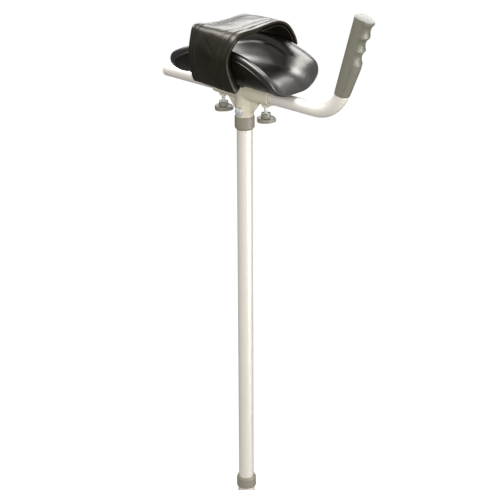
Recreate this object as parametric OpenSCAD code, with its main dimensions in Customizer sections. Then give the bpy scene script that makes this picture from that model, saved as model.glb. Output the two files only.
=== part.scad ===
// Platform crutch: a telescoping upright with a clamped forearm trough and an upright hand grip.
// Millimetres, +Z up, +X toward the hand grip, origin at the middle of the rubber tip's ground face.

/* [Upright] */
// Outside diameter of the upper tube
upper_tube_d = 25.4; // [25:0.1:25.6]
// Outside diameter of the lower tube
lower_tube_d = 28.6; // [28.5:0.1:28.8]
// Height of the lower collar's top above the ground
collar_top_z = 270; // [250:5:320]
// Length of upper tube that shows between the two collars
shown_tube = 634; // [500:1:760]
// Distance between two height settings
hole_pitch = 25.4; // [20:0.1:30]
// Number of height settings
hole_count = 7; // [4:1:7]

/* [Beam] */
// Outside diameter of the beam tube
beam_d = 22.2; // [21.8:0.1:22.2]
// Distance from the upright's axis to the beam's rear end
beam_rear = 173; // [150:1:190]
// Distance from the upright's axis to where the handle's line meets the beam
handle_x = 190; // [185:1:205]
// Forward run of the handle for each 24 mm that it rises
handle_run = 7; // [6:1:8]
// Radius of the bend, to the tube's centre line
bend_r = 55; // [45:1:58]
// Length of the hand grip
grip_length = 129; // [110:1:140]

/* [Clamp bracket] */
// Half of the sleeve's length
sleeve_half = 60; // [56:1:64]
// Outside radius of the sleeve
sleeve_r = 14.5; // [14:0.1:15.5]
// Distance of each clamp screw from the upright's axis
clamp_x = 46; // [44:1:48]
// Size across the clamp knob's lobes
knob_d = 31; // [28:1:34]

/* [Forearm trough] */
// Half of the trough's length
trough_half = 110; // [100:1:118]
// Outside half width of the trough
trough_r = 60; // [60:0.5:60.5]
// Height of the trough's rim above the beam's axis
rim_height = 82; // [76:1:84]
// Thickness of the pad
pad_t = 8; // [5:0.5:9]

/* [Cuff] */
// Rear edge of the cuff, measured from the upright's axis
cuff_rear = -46; // [-50:1:-40]
// Front edge of the cuff, measured from the upright's axis
cuff_front = 44; // [38:1:48]
// Thickness of the padded flap
flap_t = 4.5; // [3:0.5:4.5]

/* [Hidden] */
$fn = 64;

cast_colour = [0.80, 0.77, 0.70];
tube_colour = [0.86, 0.84, 0.80];
grey_plastic = [0.45, 0.44, 0.40];
dark_grey = [0.25, 0.25, 0.24];
zinc = [0.75, 0.77, 0.80];
vinyl = [0.05, 0.05, 0.05];

// Heights
beam_z = collar_top_z + shown_tube + 64;
neck_top = -20;
neck_bottom = -60;
collar_lip = -64;
collar_rim = -42;
bolt_z = -32;
bolt_turn = 8;

// Tubes
upper_r = upper_tube_d / 2;
lower_r = lower_tube_d / 2;
wall = 1.47;
upper_bore = upper_r - wall;
lower_bore = lower_r - wall;
lower_tube_bottom = 15.6;
lower_tube_top = collar_top_z - 4;
first_hole_z = 68;
upper_tube_bottom = first_hole_z - 25;
button_r = 3.8;
button_hole_r = 4;

// Tip
tip_r = 24;
tip_neck_r = 18;
tip_height = 54;
washer_z = 14;

// Bracket
sleeve_bore = beam_d / 2 + 0.05;
neck_r = 14.7;
web_t = 9;
boss_r = 6.5;
boss_z = -18.5;
stud_r = 3.1;
stud_bore = 3.3;
bolt_r = 3.1;
saddle_top = 14.9;
saddle_x = 22;
saddle_y = 29;
ear_y = 20;
ear_bottom = 5;
screw_r = 2.4;

// Clamp screws, as heights below the beam's axis
press_top = -sleeve_bore - 0.05;
press_t = 1.8;
stud_top = press_top - press_t;
knob_top = -29;
knob_face = -35;
knob_bottom = -41.5;
stud_bottom = -39;

// Beam
beam_r = beam_d / 2;
beam_bore = beam_r - 1.5;
handle_lean = atan(handle_run / 24);
tangent = bend_r * tan((90 - handle_lean) / 2);
cap_t = 4;
grip_start = 36.5;
grip_roof = 4;

// Trough, measured from the beam's axis
trough_y = -2;
trough_z = 17;
flat_half = 16;
arc_r = trough_r - flat_half;
arc_z = trough_z + arc_r;
cover_t = 1;
shell_t = 2.5;
rim_bow = 205;
corner_r = 28;
corner_x = trough_half - corner_r;
corner_z = sqrt(pow(rim_bow - corner_r, 2) - pow(corner_x, 2)) - (rim_bow - rim_height);
touch_x = corner_x * rim_bow / (rim_bow - corner_r);

// Outer line of the flap across the cuff, as [y, z] from the near lower edge over the top
flap_front = [[-66, 20], [-70, 27], [-71, 45], [-72, 70], [-71, 92], [-66, 103], [-56, 109],
    [-40, 111], [-22, 111], [-2, 112.5], [20, 114], [37, 112.5], [53, 105], [64, 94],
    [73, 80], [78, 66]];
flap_rear = [[-66, 20], [-70, 27], [-71, 45], [-72, 70], [-72, 95], [-70, 108], [-60, 112],
    [-45, 109], [-28, 106.5], [-10, 105.5], [14, 105.5], [38, 106.5], [54, 104], [64, 94],
    [73, 80], [78, 66]];
// Outer line of the strap, from its end on top down the far side and under the trough
strap_front = [[-8, 105.6], [6, 106.1], [20, 107.2], [34, 106.1], [47, 100.2], [57, 90.5],
    [66, 77], [71, 62], [72.5, 46], [71, 32], [65, 21], [54, 15.6], [40, 15], [16, 15],
    [-16, 15], [-40, 15], [-60, 15]];
strap_rear = [[-8, 98.5], [6, 98.5], [20, 98.6], [34, 98.8], [46, 96.2], [56, 87.5],
    [65, 75.5], [70.5, 62], [72.5, 46], [71, 32], [65, 21], [54, 15.6], [40, 15], [16, 15],
    [-16, 15], [-40, 15], [-60, 15]];
strap_t = 2;
patch_t = 0.8;
patch_gap = 0.15;
band_step = 0.5;
// Sewn edge of the flap: distance of the seam from the edge, its depth and the flap's crown
seam_in = 8;
seam_depth = 0.9;
crown = 0.8;

// A point on a smooth line through the points p, at parameter t
function smooth(p, t) = let(
    last = len(p) - 1,
    i = min(floor(t), last - 1),
    f = t - i,
    a = p[max(i - 1, 0)],
    b = p[i],
    c = p[i + 1],
    d = p[min(i + 2, last)])
    0.5 * (2 * b + (c - a) * f + (2 * a - 5 * b + 4 * c - d) * f * f
    + (3 * b - a - 3 * c + d) * f * f * f);

// The inward normal of that line at t
function inward(p, t) = let(
    last = len(p) - 1,
    d = smooth(p, min(t + 0.02, last)) - smooth(p, max(t - 0.02, 0)))
    [d[1], -d[0]] / norm(d);

function mix(a, b, u) = a * (1 - u) + b * u;

// Faces of a closed solid of n rings of m points each, in one plane a ring. Points j and c - j of
// a ring lie across the sheet from each other, so the end caps are strips between them.
function ring_faces(n, m, c) = concat(
    [for (i = [0:n - 2]) for (j = [0:m - 1])
        let(k = (j + 1) % m, a = i * m + j, b = i * m + k)
        each [[a, b, b + m], [a, b + m, a + m]]],
    [for (t = cap_strip(m, c)) [t[2], t[1], t[0]]],
    [for (t = cap_strip(m, c)) [for (v = t) (n - 1) * m + v]]);

// Triangles of one cap
function cap_strip(m, c) = [for (j = [0:floor(c / 2) - 1])
    for (t = [[j, j + 1, c - j - 1], [j, c - j - 1, (c - j) % m]])
        if (t[0] != t[2] && t[1] != t[2]) t];

// A band of cloth that follows the rear line at its rear edge and the front line at its front
// edge. Each station is [x, depth of the outer face, depth of the inner face] below the lines.
module band(rear, front, t0, t1, stations) {
    steps = (t1 - t0) / band_step;
    rings = [for (s = stations) let(
        line = mix(rear, front, (s[0] - cuff_rear) / (cuff_front - cuff_rear)))
        concat(
            [for (j = [0:steps]) let(t = t0 + j * band_step)
                band_point(s[0], line, t, s[1])],
            [for (j = [steps:-1:0]) let(t = t0 + j * band_step)
                band_point(s[0], line, t, s[2])])];
    translate([0, 0, beam_z])
        polyhedron([for (r = rings) each r],
            ring_faces(len(stations), 2 * steps + 2, 2 * steps + 1));
}

// Point of a band at x, at t along its line and at a depth below it
function band_point(x, line, t, depth) = let(q = smooth(line, t), w = inward(line, t))
    [x, q[0] + depth * w[0], q[1] + depth * w[1]];

// Height of the trough's rim at x
function rim_z(x) = abs(x) < touch_x
    ? sqrt(rim_bow * rim_bow - x * x) - (rim_bow - rim_height)
    : corner_z + sqrt(max(0, corner_r * corner_r - pow(abs(x) - corner_x, 2)));

// Length of the trough's section from its middle up to the rim, along depth d below the outside
function rim_length(x, d) = let(z = rim_z(x), r = arc_r - d)
    z > arc_z ? flat_half + r * PI / 2 + z - arc_z
    : flat_half + r * acos(1 - (z - trough_z) / arc_r) * PI / 180;

// Point [y, z] and inward normal at length s along the trough's section, at depth d
function section(s, d) = let(
    r = arc_r - d,
    q = abs(s),
    side = s < 0 ? -1 : 1,
    a = min(90, max(0, (q - flat_half) / r * 180 / PI)),
    up = max(0, q - flat_half - r * PI / 2))
    [side * (min(q, flat_half) + r * sin(a)), arc_z - r * cos(a) + up,
    -side * sin(a), cos(a)];

// Side outline of the trough, drawn in by inset: a bowed rim with a rounded corner at each end
module trough_outline(inset) {
    touch = asin(touch_x / rim_bow);
    corner = [for (i = [0:8]) let(a = mix(0, 90 - touch, i / 8))
        [corner_x + (corner_r - inset) * cos(a), corner_z + (corner_r - inset) * sin(a)]];
    bow = [for (i = [1:17]) let(a = mix(touch, -touch, i / 18))
        [(rim_bow - inset) * sin(a), rim_height - rim_bow + (rim_bow - inset) * cos(a)]];
    polygon(concat([[trough_half - inset, trough_z - 5]], corner, bow,
        [for (i = [8:-1:0]) [-corner[i][0], corner[i][1]]],
        [[-trough_half + inset, trough_z - 5]]));
}

// Half pipe between two depths below the trough's outside
module half_pipe(outer, inner) {
    rotate([90, 0, 90]) linear_extrude(2 * trough_half + 2, center = true) difference() {
        pipe_fill(outer);
        pipe_fill(inner);
    }
}

// Filled section of the half pipe at a depth below the outside
module pipe_fill(d) {
    for (s = [-1, 1])
        translate([s * flat_half, arc_z]) circle(r = arc_r - d, $fn = 96);
    translate([-flat_half, trough_z + d]) square([2 * flat_half, arc_r]);
    translate([-trough_r + d, arc_z]) square([2 * (trough_r - d), rim_height]);
}

// One shell of the trough between two depths, trimmed to the side outline
module trough_skin(outer, inner, inset) {
    translate([0, trough_y, 0]) intersection() {
        half_pipe(outer, inner);
        rotate([90, 0, 0]) linear_extrude(2 * trough_r + 2, center = true)
            trough_outline(inset);
    }
}

// Places children on the two trough screws
module at_trough_screws() {
    for (y = [-ear_y, ear_y])
        translate([0, y, beam_z]) children();
}

// Places children on one clamp screw, with the origin on the beam's axis
module at_clamp(side) {
    translate([side * clamp_x, 0, beam_z]) children();
}

// Places children on the handle's axis, with +Z along it and the origin on the beam's axis
module on_handle() {
    translate([handle_x, 0, beam_z]) rotate([0, handle_lean, 0]) children();
}

// Places children on the cross bolt's axis, with +Z toward its head
module on_cross_bolt() {
    translate([0, 0, beam_z + bolt_z]) rotate([0, 0, bolt_turn]) rotate([90, 0, 0]) children();
}

module rubber_tip() {
    color(dark_grey) difference() {
        rotate_extrude() polygon([[0, 0], [tip_r - 1.5, 0], [tip_r, 1.5], [tip_r, 6],
            [tip_r - 1.2, 8.5], [tip_r - 3.4, 12], [tip_neck_r + 1.4, 20],
            [tip_neck_r, 28], [tip_neck_r - 0.4, tip_height - 6],
            [tip_neck_r + 0.6, tip_height - 5], [tip_neck_r + 0.6, tip_height - 1],
            [tip_neck_r, tip_height], [0, tip_height]]);
        translate([0, 0, washer_z]) cylinder(r = lower_r, h = tip_height);
        for (r = [6, 12, 18])
            translate([0, 0, -1]) difference() {
                cylinder(r = r + 1, h = 2.5);
                cylinder(r = r - 1, h = 2.5);
            }
    }
}

module tip_washer() {
    color(zinc) translate([0, 0, washer_z]) difference() {
        cylinder(r = lower_r - 0.2, h = lower_tube_bottom - washer_z);
        translate([0, 0, -1]) cylinder(r = 4, h = 4);
    }
}

module lower_tube() {
    color(tube_colour) difference() {
        translate([0, 0, lower_tube_bottom])
            cylinder(r = lower_r, h = lower_tube_top - lower_tube_bottom);
        translate([0, 0, lower_tube_bottom - 1]) cylinder(r = lower_bore, h = lower_tube_top);
        for (i = [0:hole_count - 1])
            translate([0, 0, first_hole_z + i * hole_pitch]) rotate([90, 0, 0])
                cylinder(r = button_hole_r, h = lower_r + 2);
    }
}

module lower_collar() {
    color(grey_plastic) difference() {
        rotate_extrude() polygon([[0, collar_top_z - 20], [15.6, collar_top_z - 20],
            [16.5, collar_top_z - 18.6], [16.5, collar_top_z - 3], [15, collar_top_z],
            [0, collar_top_z]]);
        translate([0, 0, collar_top_z - 21]) cylinder(r = lower_r, h = 17);
        translate([0, 0, collar_top_z - 10]) cylinder(r = upper_r + 0.1, h = 20);
        translate([0, 0, collar_top_z - 1.6]) cylinder(r = upper_r + 0.9, h = 4);
    }
}

module upper_tube() {
    color(tube_colour) difference() {
        translate([0, 0, upper_tube_bottom])
            cylinder(r = upper_r, h = beam_z + neck_top - upper_tube_bottom);
        translate([0, 0, upper_tube_bottom - 1]) cylinder(r = upper_bore, h = beam_z);
        translate([0, 0, first_hole_z]) rotate([90, 0, 0])
            cylinder(r = button_r + 0.1, h = upper_r + 2);
        on_cross_bolt() cylinder(r = bolt_r + 0.1, h = 60, center = true);
    }
}

module tube_glide() {
    color(dark_grey) translate([0, 0, upper_tube_bottom]) difference() {
        union() {
            translate([0, 0, -3]) cylinder(r = upper_r + 0.05, h = 3);
            cylinder(r = upper_bore, h = 9);
        }
        translate([0, 0, -4]) cylinder(r = upper_bore - 2, h = 14);
    }
}

// The button's dome stands out of the lower tube and its flange holds it inside the upper tube
module snap_button() {
    color(zinc) translate([0, 0, first_hole_z]) rotate([90, 0, 0]) {
        intersection() {
            translate([0, 0, 9.2]) cylinder(r = button_r, h = lower_r + 2.4 - 9.2);
            sphere(r = lower_r + 2.4);
            translate([0, 0, 5]) sphere(r = 11.6);
        }
        intersection() {
            translate([0, 0, 8]) cylinder(r = button_r + 1.2, h = 2.5);
            cylinder(r = button_r + 1.2, h = 9.8);
        }
    }
}

// Bent leaf: one leg behind the button, the other against the tube's far wall
module button_spring() {
    color(zinc) rotate([90, 0, 90]) linear_extrude(7, center = true)
        polygon([[-7.9, first_hole_z - 6], [-7.3, first_hole_z - 6], [-7.3, first_hole_z + 18],
            [-5.5, first_hole_z + 24], [0, first_hole_z + 26.4], [5.5, first_hole_z + 24],
            [9.8, first_hole_z + 10], [9.8, first_hole_z - 14], [10.4, first_hole_z - 14],
            [10.4, first_hole_z + 10.1], [6, first_hole_z + 24.4],
            [0, first_hole_z + 27.1], [-6, first_hole_z + 24.4],
            [-7.9, first_hole_z + 18.2]]);
}

module upper_collar() {
    color(grey_plastic) translate([0, 0, beam_z]) difference() {
        rotate_extrude() polygon([[0, collar_lip], [13.4, collar_lip], [16, collar_lip + 3.4],
            [16, collar_rim - 1], [15.4, collar_rim], [0, collar_rim]]);
        translate([0, 0, collar_lip - 1]) cylinder(r = upper_r, h = 30);
        translate([0, 0, neck_bottom]) cylinder(r = neck_r, h = 30);
    }
}

module bracket() {
    color(cast_colour) difference() {
        translate([0, 0, beam_z]) union() {
            rotate([0, 90, 0]) cylinder(r = sleeve_r, h = 2 * sleeve_half, center = true);
            translate([0, 0, neck_bottom]) cylinder(r = neck_r, h = -neck_bottom);
            rotate([90, 0, 0]) linear_extrude(web_t, center = true)
                polygon([[-40, 0], [-38, -11], [-34, -14], [-14, -38], [14, -38], [34, -14],
                    [38, -11], [40, 0]]);
            for (s = [-1, 1]) {
                translate([s * clamp_x, 0, boss_z]) cylinder(r = boss_r, h = -boss_z);
                translate([0, s * ear_y, ear_bottom])
                    cylinder(r = 5.5, h = saddle_top - ear_bottom);
            }
            translate([-saddle_x, -saddle_y, saddle_top - 3])
                cube([2 * saddle_x, 2 * saddle_y, 3]);
            translate([-3, -saddle_y + 4, 4]) cube([6, 2 * saddle_y - 8, saddle_top - 5]);
            rotate([0, 0, bolt_turn]) translate([0, 0, bolt_z]) rotate([90, 0, 0])
                cylinder(r = 8.4, h = 29.6, center = true);
        }
        translate([0, 0, beam_z]) rotate([0, 90, 0])
            cylinder(r = sleeve_bore, h = 2 * sleeve_half + 2, center = true);
        translate([0, 0, beam_z + neck_bottom - 1])
            cylinder(r = upper_r + 0.05, h = neck_top - neck_bottom + 1);
        for (s = [-1, 1])
            at_clamp(s) translate([0, 0, boss_z - 1]) cylinder(r = stud_bore, h = 10);
        at_trough_screws() cylinder(r = screw_r, h = 30);
        on_cross_bolt() cylinder(r = bolt_r + 0.1, h = 60, center = true);
    }
}

module cross_bolt() {
    color(zinc) on_cross_bolt() difference() {
        union() {
            translate([0, 0, -21.5]) cylinder(r = bolt_r, h = 37);
            intersection() {
                translate([0, 0, 14.8]) cylinder(r = 7.5, h = 4.6);
                translate([0, 0, 9.4]) sphere(r = 10);
            }
        }
        translate([0, 0, 16.4]) cylinder(r = 2.9, h = 6, $fn = 6);
    }
}

module cross_nut() {
    color(zinc) on_cross_bolt() translate([0, 0, -20.8]) difference() {
        union() {
            translate([0, 0, 1.5]) cylinder(r = 6.4, h = 4.5, $fn = 6);
            cylinder(r = 5.2, h = 1.5);
        }
        translate([0, 0, -1]) cylinder(r = bolt_r, h = 10);
    }
}

// Small shoe between the stud and the beam
module clamp_pad(side) {
    color(dark_grey) at_clamp(side) translate([0, 0, press_top - press_t])
        cylinder(r = stud_bore - 0.2, h = press_t);
}

module clamp_stud(side) {
    color(zinc) at_clamp(side) {
        translate([0, 0, stud_bottom]) cylinder(r = stud_r, h = stud_top - stud_bottom - 0.8);
        translate([0, 0, stud_top - 0.8]) cylinder(r1 = stud_r, r2 = stud_r - 0.8, h = 0.8);
    }
}

module clamp_knob(side) {
    lobe_r = 6.8;
    color(grey_plastic) at_clamp(side) difference() {
        union() {
            translate([0, 0, knob_face]) cylinder(r1 = 8.2, r2 = 6, h = knob_top - knob_face);
            translate([0, 0, knob_bottom]) linear_extrude(knob_face - knob_bottom) {
                circle(r = 11);
                for (a = [0:120:240])
                    rotate(a + 30) translate([knob_d / 2 - lobe_r, 0]) circle(r = lobe_r);
            }
        }
        translate([0, 0, stud_bottom]) cylinder(r = stud_r, h = 20);
    }
}

// Section of the beam tube
module beam_section() {
    difference() {
        circle(r = beam_r);
        circle(r = beam_bore);
    }
}

module beam_tube() {
    wedge = 2 * bend_r;
    color(tube_colour) {
        translate([-beam_rear, 0, beam_z]) rotate([0, 90, 0])
            linear_extrude(handle_x - tangent + beam_rear) beam_section();
        translate([handle_x - tangent, 0, beam_z + bend_r]) rotate([90, 0, 0]) intersection() {
            rotate_extrude() translate([bend_r, 0]) beam_section();
            linear_extrude(3 * beam_r, center = true)
                polygon([[0, 0], [0, -wedge], [wedge, -wedge],
                    [wedge * cos(handle_lean), -wedge * sin(handle_lean)]]);
        }
        on_handle() translate([0, 0, tangent])
            linear_extrude(grip_start + grip_length - grip_roof - tangent) beam_section();
    }
}

module beam_cap() {
    color(tube_colour) translate([-beam_rear, 0, beam_z]) rotate([0, -90, 0]) {
        intersection() {
            cylinder(r = beam_r, h = cap_t);
            translate([0, 0, -15.5]) sphere(r = 19.4);
        }
        translate([0, 0, -12]) cylinder(r = beam_bore - 0.05, h = 12);
    }
}

// Side outline of the grip with its finger hollows, x forward and y along the handle
module grip_outline() {
    difference() {
        polygon([[-12.5, 0], [12.4, 0], [17.6, 46], [18, 60], [18.6, 98], [19, 112],
            [21, grip_length], [-12.5, grip_length]]);
        for (p = [[31, 69, 16.5], [31.5, 90, 16.5], [34.5, 113.5, 17]])
            translate([p[0], p[1]]) circle(r = p[2]);
    }
}

module hand_grip() {
    color(grey_plastic) on_handle() difference() {
        intersection() {
            translate([0, 0, grip_start]) linear_extrude(grip_length) {
                circle(r = 12.5);
                translate([9.5, 0]) circle(r = 11.5);
                translate([0, -12]) square([9.5, 24]);
            }
            translate([0, 0, grip_start]) rotate([90, 0, 0])
                linear_extrude(30, center = true) grip_outline();
        }
        cylinder(r = beam_r + 0.2, h = grip_start + grip_length - grip_roof);
    }
}

module trough_shell() {
    color(dark_grey) difference() {
        translate([0, 0, beam_z]) trough_skin(cover_t, cover_t + shell_t, 1.5);
        at_trough_screws() {
            cylinder(r = screw_r + 0.2, h = 40);
            translate([0, 0, trough_z + cover_t + 0.7])
                cylinder(r1 = screw_r + 0.2, r2 = screw_r + 2.8, h = 2.6);
        }
    }
}

module trough_cover() {
    color(vinyl) difference() {
        translate([0, 0, beam_z]) trough_skin(0, cover_t, 0);
        at_trough_screws() cylinder(r = screw_r + 0.2, h = 40);
    }
}

// Padded lining: its edge is rounded and thins toward both ends
module trough_pad() {
    steps = 20;
    depth = cover_t + shell_t;
    ends = [0, 0.8, 2.5, 6];
    xs = concat([for (e = ends) -trough_half + e], [for (i = [-3:3]) i * 30],
        [for (i = [3:-1:0]) trough_half - ends[i]]);
    rings = [for (x = xs) let(
        e = trough_half - abs(x),
        t = pad_t * sqrt(1 - pow(1 - min(e + 0.8, 6) / 6, 2)),
        d = depth + t / 2 + 0.02,
        len_s = rim_length(x, d) - t / 2,
        near = edge_points(x, len_s, d, t, -1))
        concat(
            [near[1], near[2]],
            [for (j = [0:steps]) let(q = section(mix(-len_s, len_s, j / steps), d))
                [x, q[0] - q[2] * t / 2, q[1] - q[3] * t / 2]],
            edge_points(x, len_s, d, t, 1),
            [for (j = [steps:-1:0]) let(q = section(mix(-len_s, len_s, j / steps), d))
                [x, q[0] + q[2] * t / 2, q[1] + q[3] * t / 2]],
            [near[0]])];
    color(vinyl) translate([0, trough_y, beam_z])
        polyhedron([for (r = rings) each r],
            ring_faces(len(xs), 2 * steps + 8, 2 * steps + 8));
}

// Three points round the pad's edge at length s, on the far or the near side
function edge_points(x, s, d, t, side) = let(q = section(side * s, d),
    along = [q[3] * side, -q[2] * side])
    [for (a = [-45, 0, 45]) let(b = a * side)
        [x, q[0] + (q[2] * sin(b) + along[0] * cos(b)) * t / 2,
        q[1] + (q[3] * sin(b) + along[1] * cos(b)) * t / 2]];

module trough_screws() {
    color(zinc) at_trough_screws() {
        translate([0, 0, ear_bottom + 1])
            cylinder(r = screw_r, h = trough_z + cover_t + 0.7 - ear_bottom - 1);
        translate([0, 0, trough_z + cover_t + 0.7])
            cylinder(r1 = screw_r, r2 = screw_r + 1.9, h = 1.8);
    }
}

module cuff_strap() {
    color(vinyl) difference() {
        band(strap_rear, strap_front, 0, 16,
            [for (x = [cuff_rear, 0, cuff_front]) [x, 0, strap_t]]);
        at_trough_screws() cylinder(r = screw_r + 0.2, h = 40);
    }
}

// Padded flap: rounded edges, a sewn channel along each edge and a crown between them
module cuff_flap() {
    edge = [[0, 0.8, flap_t - 0.8], [2, 0, flap_t], [seam_in, seam_depth, flap_t],
        [seam_in + 6, -crown / 2, flap_t]];
    color(vinyl) band(flap_rear, flap_front, 0, 15, concat(
        [for (e = edge) [cuff_rear + e[0], e[1], e[2]]],
        [[(cuff_rear + cuff_front) / 2, -crown, flap_t]],
        [for (i = [3:-1:0]) [cuff_front - edge[i][0], edge[i][1], edge[i][2]]]));
}

module loop_patch() {
    color(dark_grey) band(strap_rear, strap_front, 0.5, 3,
        [for (x = [cuff_rear + 12, 0, cuff_front - 12]) [x, -patch_t - patch_gap, -patch_gap]]);
}

module hook_patch() {
    inside = flap_t + patch_gap;
    color(dark_grey) band(flap_rear, flap_front, 9, 11,
        [for (x = [cuff_rear + 14, (cuff_rear + cuff_front) / 2, cuff_front - 14])
            [x, inside, inside + patch_t]]);
}

rubber_tip();
tip_washer();
lower_tube();
lower_collar();
upper_tube();
tube_glide();
snap_button();
button_spring();
upper_collar();
bracket();
cross_bolt();
cross_nut();
clamp_pad(-1);  // clamp_pad_rear
clamp_pad(1);  // clamp_pad_front
clamp_stud(-1);  // clamp_stud_rear
clamp_stud(1);  // clamp_stud_front
clamp_knob(-1);  // clamp_knob_rear
clamp_knob(1);  // clamp_knob_front
beam_tube();
beam_cap();
hand_grip();
trough_shell();
trough_cover();
trough_pad();
trough_screws();
cuff_strap();
cuff_flap();
loop_patch();
hook_patch();
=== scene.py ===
import logging
import math
from bisect import bisect_left
from dataclasses import dataclass
from enum import Enum
from typing import Callable, Sequence

import bmesh
import bpy
from mathutils import Matrix, Vector, noise


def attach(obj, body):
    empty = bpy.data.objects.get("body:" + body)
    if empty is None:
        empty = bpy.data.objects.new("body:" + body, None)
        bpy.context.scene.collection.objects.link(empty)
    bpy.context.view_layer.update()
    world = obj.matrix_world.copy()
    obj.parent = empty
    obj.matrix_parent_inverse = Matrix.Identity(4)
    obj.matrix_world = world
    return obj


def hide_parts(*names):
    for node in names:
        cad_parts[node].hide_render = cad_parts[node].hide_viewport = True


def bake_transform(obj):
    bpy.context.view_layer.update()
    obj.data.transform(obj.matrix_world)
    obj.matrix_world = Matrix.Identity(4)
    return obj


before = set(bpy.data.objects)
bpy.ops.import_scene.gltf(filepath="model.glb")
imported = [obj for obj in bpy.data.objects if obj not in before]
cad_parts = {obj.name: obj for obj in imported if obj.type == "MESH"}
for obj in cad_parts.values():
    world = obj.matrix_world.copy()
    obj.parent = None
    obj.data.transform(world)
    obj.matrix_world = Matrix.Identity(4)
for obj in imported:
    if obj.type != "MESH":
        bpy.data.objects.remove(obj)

logging.basicConfig(level=logging.INFO, format="%(message)s")
log = logging.getLogger("platform_crutch")

Colour = tuple[float, float, float]
Line = tuple[tuple[float, float], ...]

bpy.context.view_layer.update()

# Sizes are in millimetres, and heights are measured from the beam's axis
MM = 0.001
BEAM_HEIGHT = 968.0


def clamp(value: float, low: float, high: float) -> float:
    """Keeps a value between two limits."""
    return max(low, min(high, value))


def ramp(value: float, start: float, end: float) -> float:
    """Smooth step from 0 at start to 1 at end."""
    f = clamp((value - start) / (end - start), 0.0, 1.0)
    return f * f * (3.0 - 2.0 * f)


def bell(value: float, centre: float, width: float) -> float:
    """Smooth bump of height 1 at centre that dies out over width."""
    return math.exp(-((value - centre) / width) ** 2)


def arched(value: float, span: float) -> float:
    """Quarter-round rise from 0 at 0 to 1 at span."""
    return math.sqrt(max(0.0, 1.0 - (1.0 - clamp(value / span, 0.0, 1.0)) ** 2))


def soft_min(a: float, b: float, round_off: float) -> float:
    """The lesser of two values, rounded where they cross.

    Args:
        a: First value.
        b: Second value.
        round_off: Size of the rounding, in the values' unit.

    Returns:
        The rounded minimum.
    """
    h = clamp(0.5 + 0.5 * (b - a) / round_off, 0.0, 1.0)
    return b * (1.0 - h) + a * h - round_off * h * (1.0 - h)


def soft_max(a: float, b: float, round_off: float) -> float:
    """The greater of two values, rounded where they cross."""
    return -soft_min(-a, -b, round_off)


# Materials


class Graph:
    """Adds linked nodes to the tree of one material or effect group."""

    def __init__(self, tree: bpy.types.NodeTree) -> None:
        """Keeps the tree that nodes are added to."""
        self.tree = tree

    def feed(self, socket: bpy.types.NodeSocket, value: object) -> None:
        """Links a socket to another one, or sets its constant.

        Args:
            socket: Input that is fed.
            value: Output socket, number, vector or colour.
        """
        if isinstance(value, bpy.types.NodeSocket):
            self.tree.links.new(value, socket)
        elif socket.type == "RGBA" and len(value) == 3:
            socket.default_value = (*value, 1.0)
        else:
            socket.default_value = value

    def add(self, kind: str, inputs: dict | None = None, **options: object) -> bpy.types.Node:
        """Adds one node.

        Args:
            kind: Blender's name of the node type.
            inputs: Values or sockets for the named or numbered inputs.
            **options: Properties of the node itself.

        Returns:
            The new node.
        """
        node = self.tree.nodes.new(kind)
        for name, value in options.items():
            setattr(node, name, value)
        for name, value in (inputs or {}).items():
            self.feed(node.inputs[name], value)
        return node

    def math(self, operation: str, a: object, b: object = 0.0) -> bpy.types.NodeSocket:
        """Adds a math node and returns its result."""
        return self.add("ShaderNodeMath", {0: a, 1: b}, operation=operation).outputs[0]

    def mix(self, factor: object, a: object, b: object) -> bpy.types.NodeSocket:
        """Mixes two colours by a factor and returns the result."""
        node = self.add("ShaderNodeMix", {0: factor, 6: a, 7: b}, data_type="RGBA")
        return node.outputs[2]

    def spread(self, value: object, low: float, high: float) -> bpy.types.NodeSocket:
        """Maps a value that runs from 0 to 1 onto a range."""
        node = self.add("ShaderNodeMapRange", {"Value": value, "To Min": low, "To Max": high})
        return node.outputs["Result"]


class Effect(Enum):
    """The surface effects that several finishes share."""

    GRAIN = "vinyl_grain"
    PEEL = "orange_peel"
    STREAKS = "drawn_streaks"
    MARKS = "handling_marks"
    PILE = "tape_pile"


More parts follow.
